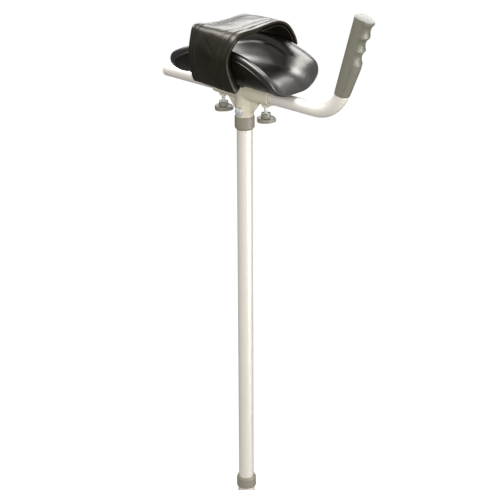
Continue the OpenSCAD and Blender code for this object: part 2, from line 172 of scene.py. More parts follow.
class EffectShelf:
    """Builds each shared effect once, as a shader node group."""

    def __init__(self) -> None:
        """Starts with no group built."""
        self.built: dict[Effect, bpy.types.NodeTree] = {}

    def open_group(self, effect: Effect, output: str) -> tuple[Graph, dict, bpy.types.NodeSocket]:
        """Makes an empty group with Vector and Scale inputs and one output.

        Args:
            effect: The effect that the group stands for.
            output: Name of the float output.

        Returns:
            Its graph, its inputs by name and the socket that takes its result.
        """
        tree = bpy.data.node_groups.new(effect.value, "ShaderNodeTree")
        tree.interface.new_socket(name="Vector", in_out="INPUT", socket_type="NodeSocketVector")
        tree.interface.new_socket(name="Scale", in_out="INPUT", socket_type="NodeSocketFloat")
        tree.interface.new_socket(name=output, in_out="OUTPUT", socket_type="NodeSocketFloat")
        graph = Graph(tree)
        self.built[effect] = tree
        given = graph.add("NodeGroupInput").outputs
        return graph, {"Vector": given[0], "Scale": given[1]}, graph.add("NodeGroupOutput").inputs[0]

    def grain(self) -> None:
        """Leather-like pebble: cells with sunk borders and fine noise."""
        g, given, out = self.open_group(Effect.GRAIN, "Height")
        soft = g.add("ShaderNodeTexNoise", {**given, "Detail": 2.0})
        cells = g.add("ShaderNodeTexVoronoi", given, feature="DISTANCE_TO_EDGE")
        pebble = g.add("ShaderNodeMapRange", {"Value": cells.outputs["Distance"], "From Max": 0.28})
        fine = g.math("MULTIPLY", soft.outputs["Fac"], 0.45)
        g.feed(out, g.math("ADD", pebble.outputs["Result"], fine))

    def peel(self) -> None:
        """Orange peel of a painted or moulded skin."""
        g, given, out = self.open_group(Effect.PEEL, "Height")
        skin = g.add("ShaderNodeTexNoise", {**given, "Detail": 3.0, "Roughness": 0.55})
        g.feed(out, skin.outputs["Fac"])

    def streaks(self) -> None:
        """Fine lines that drawing leaves along a tube, on a vector squeezed along it."""
        g, given, out = self.open_group(Effect.STREAKS, "Mask")
        lines = g.add("ShaderNodeTexNoise", {**given, "Detail": 5.0, "Roughness": 0.7})
        g.feed(out, g.spread(lines.outputs["Fac"], -0.3, 1.3))

    def marks(self) -> None:
        """Broad soft patches where hands and dust have changed the gloss."""
        g, given, out = self.open_group(Effect.MARKS, "Mask")
        broad = g.add("ShaderNodeTexNoise", {**given, "Detail": 4.0, "Distortion": 0.6})
        fac = broad.outputs["Fac"]
        patch = g.add("ShaderNodeMapRange", {"Value": fac, "From Min": 0.35, "From Max": 0.7})
        g.feed(out, patch.outputs["Result"])

    def pile(self) -> None:
        """Matted loops of fastening tape."""
        g, given, out = self.open_group(Effect.PILE, "Height")
        loops = g.add("ShaderNodeTexVoronoi", given)
        hair = g.add("ShaderNodeTexNoise", {**given, "Detail": 6.0})
        g.feed(out, g.math("ADD", loops.outputs["Distance"], hair.outputs["Fac"]))

    def place(self, graph: Graph, effect: Effect, scale: float,
              vector: bpy.types.NodeSocket) -> bpy.types.NodeSocket:
        """Places an effect in a material.

        Args:
            graph: The material's graph.
            effect: Which effect.
            scale: Its scale, in cells a metre.
            vector: Coordinates that it reads.

        Returns:
            The group's output.
        """
        if effect not in self.built:
            {Effect.GRAIN: self.grain, Effect.PEEL: self.peel, Effect.STREAKS: self.streaks,
             Effect.MARKS: self.marks, Effect.PILE: self.pile}[effect]()
        node = graph.add("ShaderNodeGroup", node_tree=self.built[effect])
        graph.feed(node.inputs["Vector"], vector)
        graph.feed(node.inputs["Scale"], scale)
        return node.outputs[0]


EFFECTS = EffectShelf()


@dataclass(frozen=True)
class Finish:
    """A finish: two close colours mixed by marks, a roughness range and a bump.

    The relief is one of the shared effects. The stretch squeezes its coordinates
    along an axis, which turns it into lines.
    """

    name: str
    colour: Colour
    worn_colour: Colour
    roughness: tuple[float, float]
    relief: Effect
    relief_scale: float
    relief_depth: float
    metallic: float = 0.0
    specular: float = 0.5
    tint: Colour = (1.0, 1.0, 1.0)
    coat: float = 0.0
    coat_roughness: float = 0.15
    sheen: float = 0.0
    stretch: tuple[float, float, float] = (1.0, 1.0, 1.0)
    marks_scale: float = 14.0
    bump_strength: float = 0.5

    def build(self) -> bpy.types.Material:
        """Makes the material, or returns the one already made."""
        if self.name in bpy.data.materials:
            return bpy.data.materials[self.name]
        material = bpy.data.materials.new(self.name)
        material.use_nodes = True
        material.node_tree.nodes.clear()
        g = Graph(material.node_tree)
        where = g.add("ShaderNodeTexCoord").outputs["Object"]
        along = g.add("ShaderNodeMapping", {"Vector": where, "Scale": self.stretch}).outputs[0]
        height = EFFECTS.place(g, self.relief, self.relief_scale, along)
        marks = EFFECTS.place(g, Effect.MARKS, self.marks_scale, where)
        bump = g.add("ShaderNodeBump", {"Strength": self.bump_strength, "Distance": self.relief_depth,
                                        "Height": height})
        shader = g.add("ShaderNodeBsdfPrincipled", {
            "Base Color": g.mix(marks, self.colour, self.worn_colour),
            "Roughness": g.spread(marks, *self.roughness),
            "Metallic": self.metallic,
            "Specular IOR Level": self.specular,
            "Specular Tint": self.tint,
            "Coat Weight": self.coat,
            "Coat Roughness": self.coat_roughness,
            "Sheen Weight": self.sheen,
            "Normal": bump.outputs["Normal"],
        })
        out = g.add("ShaderNodeOutputMaterial")
        g.feed(out.inputs["Surface"], shader.outputs["BSDF"])
        return material


UPRIGHT_METAL = Finish("upright_satin_metal", (0.82, 0.775, 0.705), (0.79, 0.745, 0.675), (0.36, 0.44),
                       Effect.STREAKS, 900.0, 0.00002, metallic=0.35, tint=(0.90, 0.88, 0.84),
                       stretch=(1.0, 1.0, 0.02), bump_strength=0.35)
BEAM_METAL = Finish("beam_satin_metal", (0.82, 0.775, 0.705), (0.79, 0.745, 0.675), (0.44, 0.52),
                    Effect.STREAKS, 900.0, 0.00002, metallic=0.35, tint=(0.90, 0.88, 0.84),
                    stretch=(0.02, 1.0, 1.0), bump_strength=0.35)
CAST_PAINT = Finish("painted_casting", (0.58, 0.54, 0.43), (0.54, 0.50, 0.39), (0.42, 0.55),
                    Effect.PEEL, 750.0, 0.00012, bump_strength=0.45)
COLLAR_GREY = Finish("collar_plastic", (0.245, 0.225, 0.180), (0.225, 0.205, 0.162), (0.44, 0.56),
                     Effect.PEEL, 1400.0, 0.00006)
GRIP_GREY = Finish("grip_plastic", (0.175, 0.168, 0.130), (0.158, 0.151, 0.116), (0.34, 0.48),
                   Effect.PEEL, 1100.0, 0.00007)
KNOB_GREY = Finish("knob_plastic", (0.205, 0.192, 0.152), (0.18, 0.17, 0.132), (0.38, 0.5),
                   Effect.PEEL, 1400.0, 0.00006)
CAP_CREAM = Finish("cap_plastic", (0.72, 0.69, 0.62), (0.68, 0.65, 0.58), (0.36, 0.46),
                   Effect.PEEL, 1200.0, 0.00005)
ZINC = Finish("zinc_plate", (0.82, 0.84, 0.82), (0.72, 0.75, 0.74), (0.26, 0.38),
              Effect.PEEL, 1800.0, 0.00004, metallic=0.6, marks_scale=90.0)
BLACK_PLASTIC = Finish("black_plastic", (0.03, 0.03, 0.028), (0.045, 0.044, 0.04), (0.4, 0.55),
                       Effect.PEEL, 1500.0, 0.00006)
TIP_RUBBER = Finish("tip_rubber", (0.10, 0.098, 0.092), (0.15, 0.146, 0.135), (0.62, 0.8),
                    Effect.PEEL, 900.0, 0.00015, marks_scale=30.0)
PAD_VINYL = Finish("pad_vinyl", (0.004, 0.0036, 0.003), (0.007, 0.006, 0.005), (0.35, 0.43),
                   Effect.GRAIN, 700.0, 0.00008, specular=0.95, tint=(1.0, 0.97, 0.93), coat=0.3,
                   coat_roughness=0.42, bump_strength=0.2)
OUTER_VINYL = Finish("outer_vinyl", (0.006, 0.005, 0.003), (0.010, 0.008, 0.005), (0.34, 0.44),
                     Effect.GRAIN, 700.0, 0.00010, specular=0.25, tint=(1.0, 0.94, 0.84), bump_strength=0.3)
CUFF_VINYL = Finish("cuff_vinyl", (0.008, 0.006, 0.003), (0.013, 0.010, 0.006), (0.30, 0.40),
                    Effect.GRAIN, 620.0, 0.00012, specular=0.32, tint=(1.0, 0.93, 0.82), coat=0.06,
                    coat_roughness=0.3, bump_strength=0.35)
THREAD = Finish("seam_thread", (0.05, 0.046, 0.038), (0.07, 0.065, 0.055), (0.5, 0.6),
                Effect.PILE, 3000.0, 0.00005)
TAPE_LOOP = Finish("fastening_tape", (0.018, 0.017, 0.016), (0.03, 0.029, 0.027), (0.8, 0.95),
                   Effect.PILE, 900.0, 0.0005, sheen=0.4, bump_strength=0.9)


# Mesh tools

# Welding distances in metres, the most of a side that one rounding may take, and the cloth's make-up
SEAM_MERGE = 0.000001
NODE_MERGE = 0.000002
NEARLY_HALF = 0.49
CLOTH_FRAMES = 20
CLOTH_QUALITY = 5
CLOTH_MASS = 0.3
CLOTH_STRETCH = 30.0
CLOTH_BENDING = 0.5


def at(x: float, y: float, z: float) -> Vector:
    """A point given in millimetres from the middle of the beam's axis, in metres."""
    return Vector((x * MM, y * MM, (BEAM_HEIGHT + z) * MM))


def close_up(bm: bmesh.types.BMesh, merge: float = 0.00001) -> None:
    """Welds doubles and turns the faces of a closed mesh outwards.

    Args:
        bm: The mesh.
        merge: Distance within which points are welded, in metres.
    """
    bmesh.ops.remove_doubles(bm, verts=bm.verts, dist=merge)
    bmesh.ops.dissolve_degenerate(bm, dist=merge * 0.1, edges=bm.edges)
    bmesh.ops.recalc_face_normals(bm, faces=bm.faces)


def to_object(name: str, bm: bmesh.types.BMesh, finish: Finish,
              sharp: float = 40.0) -> bpy.types.Object:
    """Turns a bmesh into a shaded piece in the scene.

    Args:
        name: The piece's name.
        bm: Its geometry, which is freed.
        finish: Its finish.
        sharp: Edges that turn more than this angle stay sharp, in degrees.

    Returns:
        The object.
    """
    mesh = bpy.data.meshes.new(name)
    bm.to_mesh(mesh)
    bm.free()
    for face in mesh.polygons:
        face.use_smooth = True
    mesh.set_sharp_from_angle(angle=math.radians(sharp))
    piece = bpy.data.objects.new(name, mesh)
    bpy.context.scene.collection.objects.link(piece)
    mesh.materials.append(finish.build())
    log.info("%s: %d faces", name, len(mesh.polygons))
    return piece


def apply_modifiers(piece: bpy.types.Object) -> None:
    """Bakes modifiers into the mesh.

    Args:
        piece: The piece, whose mesh is replaced.
    """
    graph = bpy.context.evaluated_depsgraph_get()
    mesh = bpy.data.meshes.new_from_object(piece.evaluated_get(graph))
    old = piece.data
    piece.modifiers.clear()
    piece.data = mesh
    bpy.data.meshes.remove(old)
    mesh.name = piece.name


def turned(profile: Sequence[tuple[float, float]], segments: int = 96) -> bmesh.types.BMesh:
    """Spins a closed profile of [radius, height] in millimetres about the upright's axis.

    Args:
        profile: Corner points in order, all at a radius above zero.
        segments: Faces round the turn.

    Returns:
        The closed mesh, in metres.
    """
    bm = bmesh.new()
    ring = [bm.verts.new((r * MM, 0.0, z * MM)) for r, z in profile]
    edges = [bm.edges.new((ring[i], ring[(i + 1) % len(ring)])) for i in range(len(ring))]
    bmesh.ops.spin(bm, geom=[*ring, *edges], cent=(0, 0, 0), axis=(0, 0, 1), angle=2 * math.pi,
                   steps=segments, use_merge=True)
    close_up(bm)
    return bm


def rounded(profile: Sequence[tuple[float, float, float]], steps: int = 4) -> list[tuple[float, float]]:
    """Rounds the corners of a closed profile.

    Args:
        profile: Corners as (radius, height, rounding), in millimetres.
        steps: Points along each rounding.

    Returns:
        The denser profile.
    """
    points = []
    count = len(profile)
    for i, (r, z, size) in enumerate(profile):
        here = Vector((r, z))
        if size <= 0:
            points.append((r, z))
            continue
        before = Vector(profile[i - 1][:2]) - here
        after = Vector(profile[(i + 1) % count][:2]) - here
        a = here + before.normalized() * min(size, before.length * NEARLY_HALF)
        b = here + after.normalized() * min(size, after.length * NEARLY_HALF)
        for k in range(steps + 1):
            f = k / steps
            p = a * (1 - f) ** 2 + here * (2 * f * (1 - f)) + b * f * f
            points.append((p.x, p.y))
    return points


def wrapped(around: int, along: int, shape: Callable[[float, float], Vector]) -> bmesh.types.BMesh:
    """Rolls a grid into a tube and closes both ends.

    Args:
        around: Faces round the tube.
        along: Faces along it.
        shape: Gives a point from a turn and a run, each from 0 to 1.

    Returns:
        The closed mesh.
    """
    bm = bmesh.new()
    bmesh.ops.create_grid(bm, x_segments=around, y_segments=along, size=1.0)
    for v in bm.verts:
        v.co = shape((v.co.x + 1) / 2, (v.co.y + 1) / 2)
    bmesh.ops.remove_doubles(bm, verts=bm.verts, dist=SEAM_MERGE)
    bmesh.ops.holes_fill(bm, edges=[e for e in bm.edges if e.is_boundary], sides=0)
    bmesh.ops.recalc_face_normals(bm, faces=bm.faces)
    return bm


def bevel_caps(bm: bmesh.types.BMesh, width: float, segments: int = 4) -> None:
    """Rounds the rims of a wrapped tube's end caps.

    Args:
        bm: Mesh whose caps are its faces of more than four corners.
        width: Width of the rounding, in millimetres.
        segments: Its steps.
    """
    rims = {e for f in bm.faces if len(f.verts) > 4 for e in f.edges}
    bmesh.ops.bevel(bm, geom=list(rims), offset=width * MM, offset_type="OFFSET", affect="EDGES",
                    segments=segments, profile=0.5, material=-1, clamp_overlap=True)
    bmesh.ops.recalc_face_normals(bm, faces=bm.faces)


def layered(us: Sequence[float], vs: Sequence[float],
            shape: Callable[[float, float, int], Vector]) -> bmesh.types.BMesh:
    """Makes a flat closed bag of two sheets that meet along their edges.

    Args:
        us: Positions of the lines across.
        vs: Positions of the lines along.
        shape: Gives a point from two positions and a side, 0 outside and 1 inside.

    Returns:
        The closed mesh.
    """
    bm = bmesh.new()
    nu, nv = len(us) - 1, len(vs) - 1
    bmesh.ops.create_grid(bm, x_segments=nu, y_segments=nv, size=1.0)
    top = bmesh.ops.extrude_face_region(bm, geom=bm.faces[:], use_keep_orig=True)["geom"]
    for v in (g for g in top if isinstance(g, bmesh.types.BMVert)):
        v.co.z = 1.0
    for v in bm.verts:
        u = us[round((v.co.x + 1) / 2 * nu)]
        w = vs[round((v.co.y + 1) / 2 * nv)]
        v.co = shape(u, w, round(v.co.z))
    close_up(bm)
    return bm


def spaced(length: float, near: Sequence[float], step: float) -> list[float]:
    """Places along a length, close together near both ends.

    Args:
        length: The whole length.
        near: Places near each end.
        step: Spacing between them.

    Returns:
        The places in order.
    """
    inner = length - 2 * near[-1]
    count = max(1, round(inner / step))
    return ([*near] + [near[-1] + inner * k / count for k in range(1, count)]
            + [length - n for n in reversed(near)])


def swept(path: Sequence[Vector], radius: float, sides: int, closed: bool) -> bmesh.types.BMesh:
    """Sweeps a round section along a path.

    Args:
        path: Points in metres.
        radius: Radius in millimetres.
        sides: Faces round the section.
        closed: Whether the last point joins the first.

    Returns:
        The mesh.
    """
    curve = bpy.data.curves.new("sweep", "CURVE")
    curve.dimensions = "3D"
    curve.bevel_depth = radius * MM
    curve.bevel_resolution = max(1, sides // 2 - 2)
    curve.use_fill_caps = not closed
    spline = curve.splines.new("POLY")
    spline.points.add(len(path) - 1)
    for point, co in zip(spline.points, path):
        point.co = (*co, 1.0)
    spline.use_cyclic_u = closed
    carrier = bpy.data.objects.new("sweep", curve)
    bpy.context.scene.collection.objects.link(carrier)
    bpy.context.view_layer.update()
    mesh = bpy.data.meshes.new_from_object(carrier.evaluated_get(bpy.context.evaluated_depsgraph_get()))
    bm = bmesh.new()
    bm.from_mesh(mesh)
    bpy.data.objects.remove(carrier)
    bpy.data.curves.remove(curve)
    bpy.data.meshes.remove(mesh)
    close_up(bm)
    return bm


def inflate(piece: bpy.types.Object, held: Callable[[Vector], bool], pressure: float, most: float) -> None:
    """Swells a closed bag with cloth simulation.

    Args:
        piece: The bag. Its mesh is replaced by the swollen one.
        held: Says whether a point is sewn down and stays.
        pressure: Air pressure inside.
        most: The furthest that a point may move, in millimetres.
    """
    mesh = piece.data
    group = piece.vertex_groups.new(name="sewn")
    rest = [v.co.copy() for v in mesh.vertices]
    group.add([i for i, co in enumerate(rest) if held(co)], 1.0, "REPLACE")
    cloth = piece.modifiers.new("swell", "CLOTH")
    settings = cloth.settings
    settings.quality = CLOTH_QUALITY
    settings.mass = CLOTH_MASS
    settings.tension_stiffness = CLOTH_STRETCH
    settings.compression_stiffness = CLOTH_STRETCH
    settings.bending_stiffness = CLOTH_BENDING
    settings.use_pressure = True
    settings.uniform_pressure_force = pressure
    settings.vertex_group_mass = group.name
    settings.effector_weights.gravity = 0.0
    cloth.point_cache.frame_start = 1
    cloth.point_cache.frame_end = CLOTH_FRAMES
    scene = bpy.context.scene
    for number in range(1, CLOTH_FRAMES + 1):
        scene.frame_set(number)
    shown = piece.evaluated_get(bpy.context.evaluated_depsgraph_get())
    moved = [v.co.copy() for v in shown.to_mesh().vertices]
    shown.to_mesh_clear()
    piece.modifiers.remove(cloth)
    piece.vertex_groups.remove(group)
    scene.frame_set(1)
    furthest = 0.0
    for vertex, start, end in zip(mesh.vertices, rest, moved):
        step = end - start
        if step.length > most * MM:
            step *= most * MM / step.length
        vertex.co = start + step
        furthest = max(furthest, step.length / MM)
    mesh.update()
    log.info("%s: swollen by up to %.1f mm", piece.name, furthest)


def rounded_off(co: Vector) -> tuple[float, ...]:
    """A point's coordinates to the nearest thousandth of a millimetre, to tell points apart by."""
    return tuple(round(c, 6) for c in co)


def subdivide(piece: bpy.types.Object) -> None:
    """Applies one level of subdivision surface.

    Args:
        piece: The piece, whose mesh is replaced.
    """
    sub = piece.modifiers.new("finer", "SUBSURF")
    sub.levels = sub.render_levels = 1
    apply_modifiers(piece)


def remesh_smooth(piece: bpy.types.Object, voxel: float, passes: int) -> None:
    """Rounds the inner and outer corners of a solid copy.

    Args:
        piece: The piece, whose mesh is replaced.
        voxel: Voxel size of the remesh, in millimetres.
        passes: Smoothing passes after it.
    """
    step = piece.modifiers.new("cast", "REMESH")
    step.mode = "VOXEL"
    step.voxel_size = voxel * MM
    step.use_smooth_shade = True
    apply_modifiers(piece)
    bm = bmesh.new()
    bm.from_mesh(piece.data)
    for _ in range(passes):
        bmesh.ops.smooth_vert(bm, verts=bm.verts, factor=0.5, use_axis_x=True, use_axis_y=True,
                              use_axis_z=True)
    bm.to_mesh(piece.data)
    bm.free()


def copy_of_node(node: str, name: str, finish: Finish) -> bpy.types.Object:
    """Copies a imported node's mesh, merged, as the start of a new piece.

    Args:
        node: The node's name.
        name: The new piece's name.
        finish: Its finish.

    Returns:
        The copy.
    """
    bm = bmesh.new()
    bm.from_mesh(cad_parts[node].data)
    bmesh.ops.remove_doubles(bm, verts=bm.verts, dist=NODE_MERGE)
    return to_object(name, bm, finish)


def finish_node(node: str, finish: Finish) -> None:
    """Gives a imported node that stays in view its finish.

    Args:
        node: The node's name.
        finish: The finish for all its material slots.
    """
    for material_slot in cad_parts[node].material_slots:
        material_slot.material = finish.build()
    log.info("%s: packed node, %s", node, finish.name)


# Metal and plastic pieces


@dataclass
class Upright:
    """The telescoping upright: tubes, collars, rubber tip and height button."""

    collar_top: float = 270.0
    collar_radius: float = 16.5
    groove_radius: float = 16.15
    neck_collar_radius: float = 16.0
    tube_radius: float = 12.7
    lower_radius: float = 14.3
    tip_radius: float = 24.0
    tip_height: float = 54.0
    tip_neck: float = 18.0
    tread_rings: tuple[float, ...] = (6.0, 12.0, 18.0)
    neck_ribs: tuple[float, ...] = (31.0, 36.0, 41.0)

    def dress(self) -> None:
        """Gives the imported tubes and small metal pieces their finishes."""
        for node, finish in {"upper_tube": UPRIGHT_METAL, "lower_tube": UPRIGHT_METAL,
                             "tip_washer": ZINC, "tube_glide": BLACK_PLASTIC,
                             "snap_button": ZINC, "button_spring": ZINC}.items():
            finish_node(node, finish)

    def lower_collar(self) -> None:
        """Builds the collar that guides the upper tube, with its running groove."""
        top, bore, seat = self.collar_top, self.tube_radius + 0.1, self.lower_radius + 0.02
        out, groove = self.collar_radius, self.groove_radius
        profile = rounded([(bore, top - 10, 0), (seat, top - 10, 0), (seat, top - 20, 0.3),
                           (15.6, top - 20, 0.5), (out, top - 18.6, 0.6), (out, top - 8.2, 0.25),
                           (groove, top - 7.8, 0.2), (groove, top - 7.2, 0.2), (out, top - 6.8, 0.25),
                           (out, top - 3.2, 0.8), (15.0, top, 0.5), (13.9, top, 0.3),
                           (13.6, top - 1.6, 0.2), (bore, top - 1.6, 0)])
        piece = to_object("lower_collar_ring", turned(profile), COLLAR_GREY, 50)
        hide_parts("lower_collar")
        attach(piece, "leg")

    def upper_collar(self) -> None:
        """Builds the collar under the bracket's neck."""
        base, bore, out = BEAM_HEIGHT, self.tube_radius + 0.02, self.neck_collar_radius
        profile = rounded([(bore, base - 64, 0.3), (13.4, base - 64, 0.5), (out, base - 60.6, 0.8),
                           (out, base - 43, 0.5), (15.4, base - 42, 0.3), (14.75, base - 42, 0.2),
                           (14.75, base - 60, 0), (bore, base - 60, 0)])
        piece = to_object("upper_collar_ring", turned(profile), COLLAR_GREY, 50)
        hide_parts("upper_collar")
        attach(piece, "post")

    def rubber_tip(self) -> None:
        """Builds the tip: a flared foot with rings, a ribbed neck and a rolled lip."""
        r, h, thin = self.tip_radius, self.tip_height, self.tip_neck
        tread = []
        for ring in self.tread_rings:
            tread += [(ring - 1.2, 0, 0.3), (ring - 0.8, 1.5, 0.3), (ring + 0.8, 1.5, 0.3),
                      (ring + 1.2, 0, 0.3)]
        neck = []
        for z in self.neck_ribs:
            neck += [(thin, z - 1.2, 0.4), (thin + 0.5, z - 0.5, 0.4), (thin + 0.5, z + 0.5, 0.4),
                     (17.9, z + 1.2, 0.4)]
        profile = rounded([(0.4, 14, 0), (0.4, 0, 0), *tread, (r - 1.5, 0, 0.6), (r, 1.5, 0.8), (r, 6, 1.0),
                           (r - 1.2, 8.5, 1.0), (r - 3.4, 12, 2.0), (19.4, 20, 3.0), (thin, 28, 1.0), *neck,
                           (17.6, h - 6, 0.5), (18.6, h - 5, 0.6), (18.6, h - 1.2, 0.8), (17.8, h, 0.6),
                           (self.lower_radius + 0.25, h, 0.5), (self.lower_radius + 0.05, 14, 0)])
        piece = to_object("foot_rubber", turned(profile), TIP_RUBBER, 50)
        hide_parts("rubber_tip")
        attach(piece, "leg")

    def build(self) -> None:
        """Builds and dresses the upright."""
        self.dress()
        self.rubber_tip()
        self.lower_collar()
        self.upper_collar()


@dataclass
class Bracket:
    """The cast clamp bracket with its cross bolt and nut."""

    voxel: float = 1.15
    passes: int = 7
    sleeve_end: float = 60.0
    relief_radius: float = 13.0
    relief_depth: float = 2.0

    def relief_rings(self) -> bpy.types.Object:
        """Builds the two discs that are cut from the sleeve's mouths.

        Returns:
            Both discs as one piece.
        """
        bm = bmesh.new()
        radius, lying = self.relief_radius * MM, Matrix.Rotation(math.pi / 2, 4, "Y")
        for side in (-1, 1):
            place = Matrix.Translation(at(side * self.sleeve_end, 0.0, 0.0))
            bmesh.ops.create_cone(bm, cap_ends=True, segments=64, radius1=radius, radius2=radius,
                                  depth=2 * self.relief_depth * MM, matrix=place @ lying)
        return to_object("sleeve_relief", bm, CAST_PAINT)

    def build(self) -> None:
        """Rounds a copy of the casting, opens its mouths and dresses the bolt and nut."""
        piece = copy_of_node("bracket", "cast_bracket_body", CAST_PAINT)
        remesh_smooth(piece, self.voxel, self.passes)
        rings = self.relief_rings()
        cut = piece.modifiers.new("mouths", "BOOLEAN")
        cut.operation = "DIFFERENCE"
        cut.solver = "EXACT"
        cut.object = rings
        apply_modifiers(piece)
        bpy.data.objects.remove(rings)
        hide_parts("bracket")
        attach(piece, "post")
        finish_node("cross_bolt", ZINC)
        finish_node("cross_nut", ZINC)


@dataclass
class ClampScrew:
    """One clamp screw: threaded stud and three-lobed knob."""

    side: str
    x: float
    lobes: int = 3
    first_lobe: float = 30.0
    lobe_radius: float = 9.6
    lobe_blend: float = 1.0
    reach: float = 15.9
    core: float = 14.3
    hub: float = -29.0
    top: float = -35.0
    bottom: float = -41.5
    stud_top: float = -13.0
    stud_bottom: float = -39.0
    stud_radius: float = 3.1
    pitch: float = 1.27
    thread_depth: float = 0.5
    rows_a_turn: int = 6

    def outline(self, angle: float) -> float:
        """Radius of the knob's outline at an angle.

        Args:
            angle: Direction about the screw, in radians.

        Returns:
            The radius, in millimetres.
        """
        radius = self.core
        offset = self.reach - self.lobe_radius
        for k in range(self.lobes):
            turn = angle - math.radians(self.first_lobe + 360 / self.lobes * k)
            across = offset * math.sin(turn)
            if abs(across) < self.lobe_radius and math.cos(turn) > 0:
                lobe = offset * math.cos(turn) + math.sqrt(self.lobe_radius ** 2 - across ** 2)
                radius = soft_max(radius, lobe, self.lobe_blend)
        return radius

    def knob(self) -> None:
        """Builds the knob: a dished lobed plate with a rounded rim and a hub."""
        # The plate's rim as inset and height, then the hub as radius and height
        stations = [(-99, self.bottom + 1.2), (-4.5, self.bottom + 1.2), (-3.2, self.bottom + 0.1),
                    (-1.6, self.bottom), (-0.7, self.bottom + 0.15), (-0.15, self.bottom + 0.7),
                    (0.0, self.bottom + 1.5), (0.0, self.top - 1.6), (-0.2, self.top - 0.8),
                    (-0.9, self.top - 0.15), (-1.9, self.top), (-2.9, self.top - 0.3), (-3.5, self.top - 0.8)]
        radii = [(8.4, self.top - 0.7), (7.9, self.top - 0.1), (7.2, self.hub + 1.2), (6.6, self.hub + 0.3),
                 (6.0, self.hub), (3.3, self.hub), (0.0, self.hub)]
        rows = len(stations) + len(radii)

        def shape(turn: float, run: float) -> Vector:
            """A point of the knob.

            Args:
                turn: Place round it, from 0 to 1.
                run: Place along it, from 0 to 1.

            Returns:
                The point, in metres.
            """
            angle = turn * 2 * math.pi
            row = round(run * (rows - 1))
            if row < len(stations):
                inset, z = stations[row]
                radius = max(0.0, self.outline(angle) + inset)
            else:
                radius, z = radii[row - len(stations)]
            return at(self.x + radius * math.cos(angle), radius * math.sin(angle), z)

        bm = wrapped(96, rows - 1, shape)
        piece = to_object(f"knob_{self.side}", bm, KNOB_GREY, 60)
        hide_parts(f"clamp_knob_{self.side}")
        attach(piece, f"screw_{self.side}")

    def stud(self) -> None:
        """Builds the stud with a rolled thread."""
        turns = (self.stud_top - self.stud_bottom) / self.pitch
        rows = int(turns * self.rows_a_turn)

        def shape(turn: float, run: float) -> Vector:
            """A point of the thread.

            Args:
                turn: Place round it, from 0 to 1.
                run: Place along it, from 0 to 1.

            Returns:
                The point, in metres.
            """
            z = self.stud_bottom + (self.stud_top - self.stud_bottom) * run
            phase = (run * turns - turn) % 1.0
            ridge = 1.0 - abs(phase * 2.0 - 1.0)
            radius = self.stud_radius - self.thread_depth * clamp(ridge * 1.5 - 0.25, 0.0, 1.0)
            radius -= 0.8 * ramp(z, self.stud_top - 0.9, self.stud_top)
            angle = turn * 2 * math.pi
            return at(self.x + radius * math.cos(angle), radius * math.sin(angle), z)

        piece = to_object(f"threaded_stud_{self.side}", wrapped(28, rows, shape), ZINC, 70)
        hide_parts(f"clamp_stud_{self.side}")
        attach(piece, f"screw_{self.side}")

    def build(self) -> None:
        """Builds both pieces and dresses the shoe."""
        self.knob()
        self.stud()
        finish_node(f"clamp_pad_{self.side}", BLACK_PLASTIC)


# The grip's front from its lower end up, as [height, reach], and its hollows as [reach, height, radius]
GRIP_FRONT: Line = ((0.0, 11.6), (46.0, 17.6), (60.0, 18.0), (98.0, 18.6), (112.0, 19.0), (129.0, 21.0))
GRIP_HOLLOWS = ((29.8, 69.0, 16.3), (30.3, 90.0, 16.3), (33.4, 113.0, 17.0))


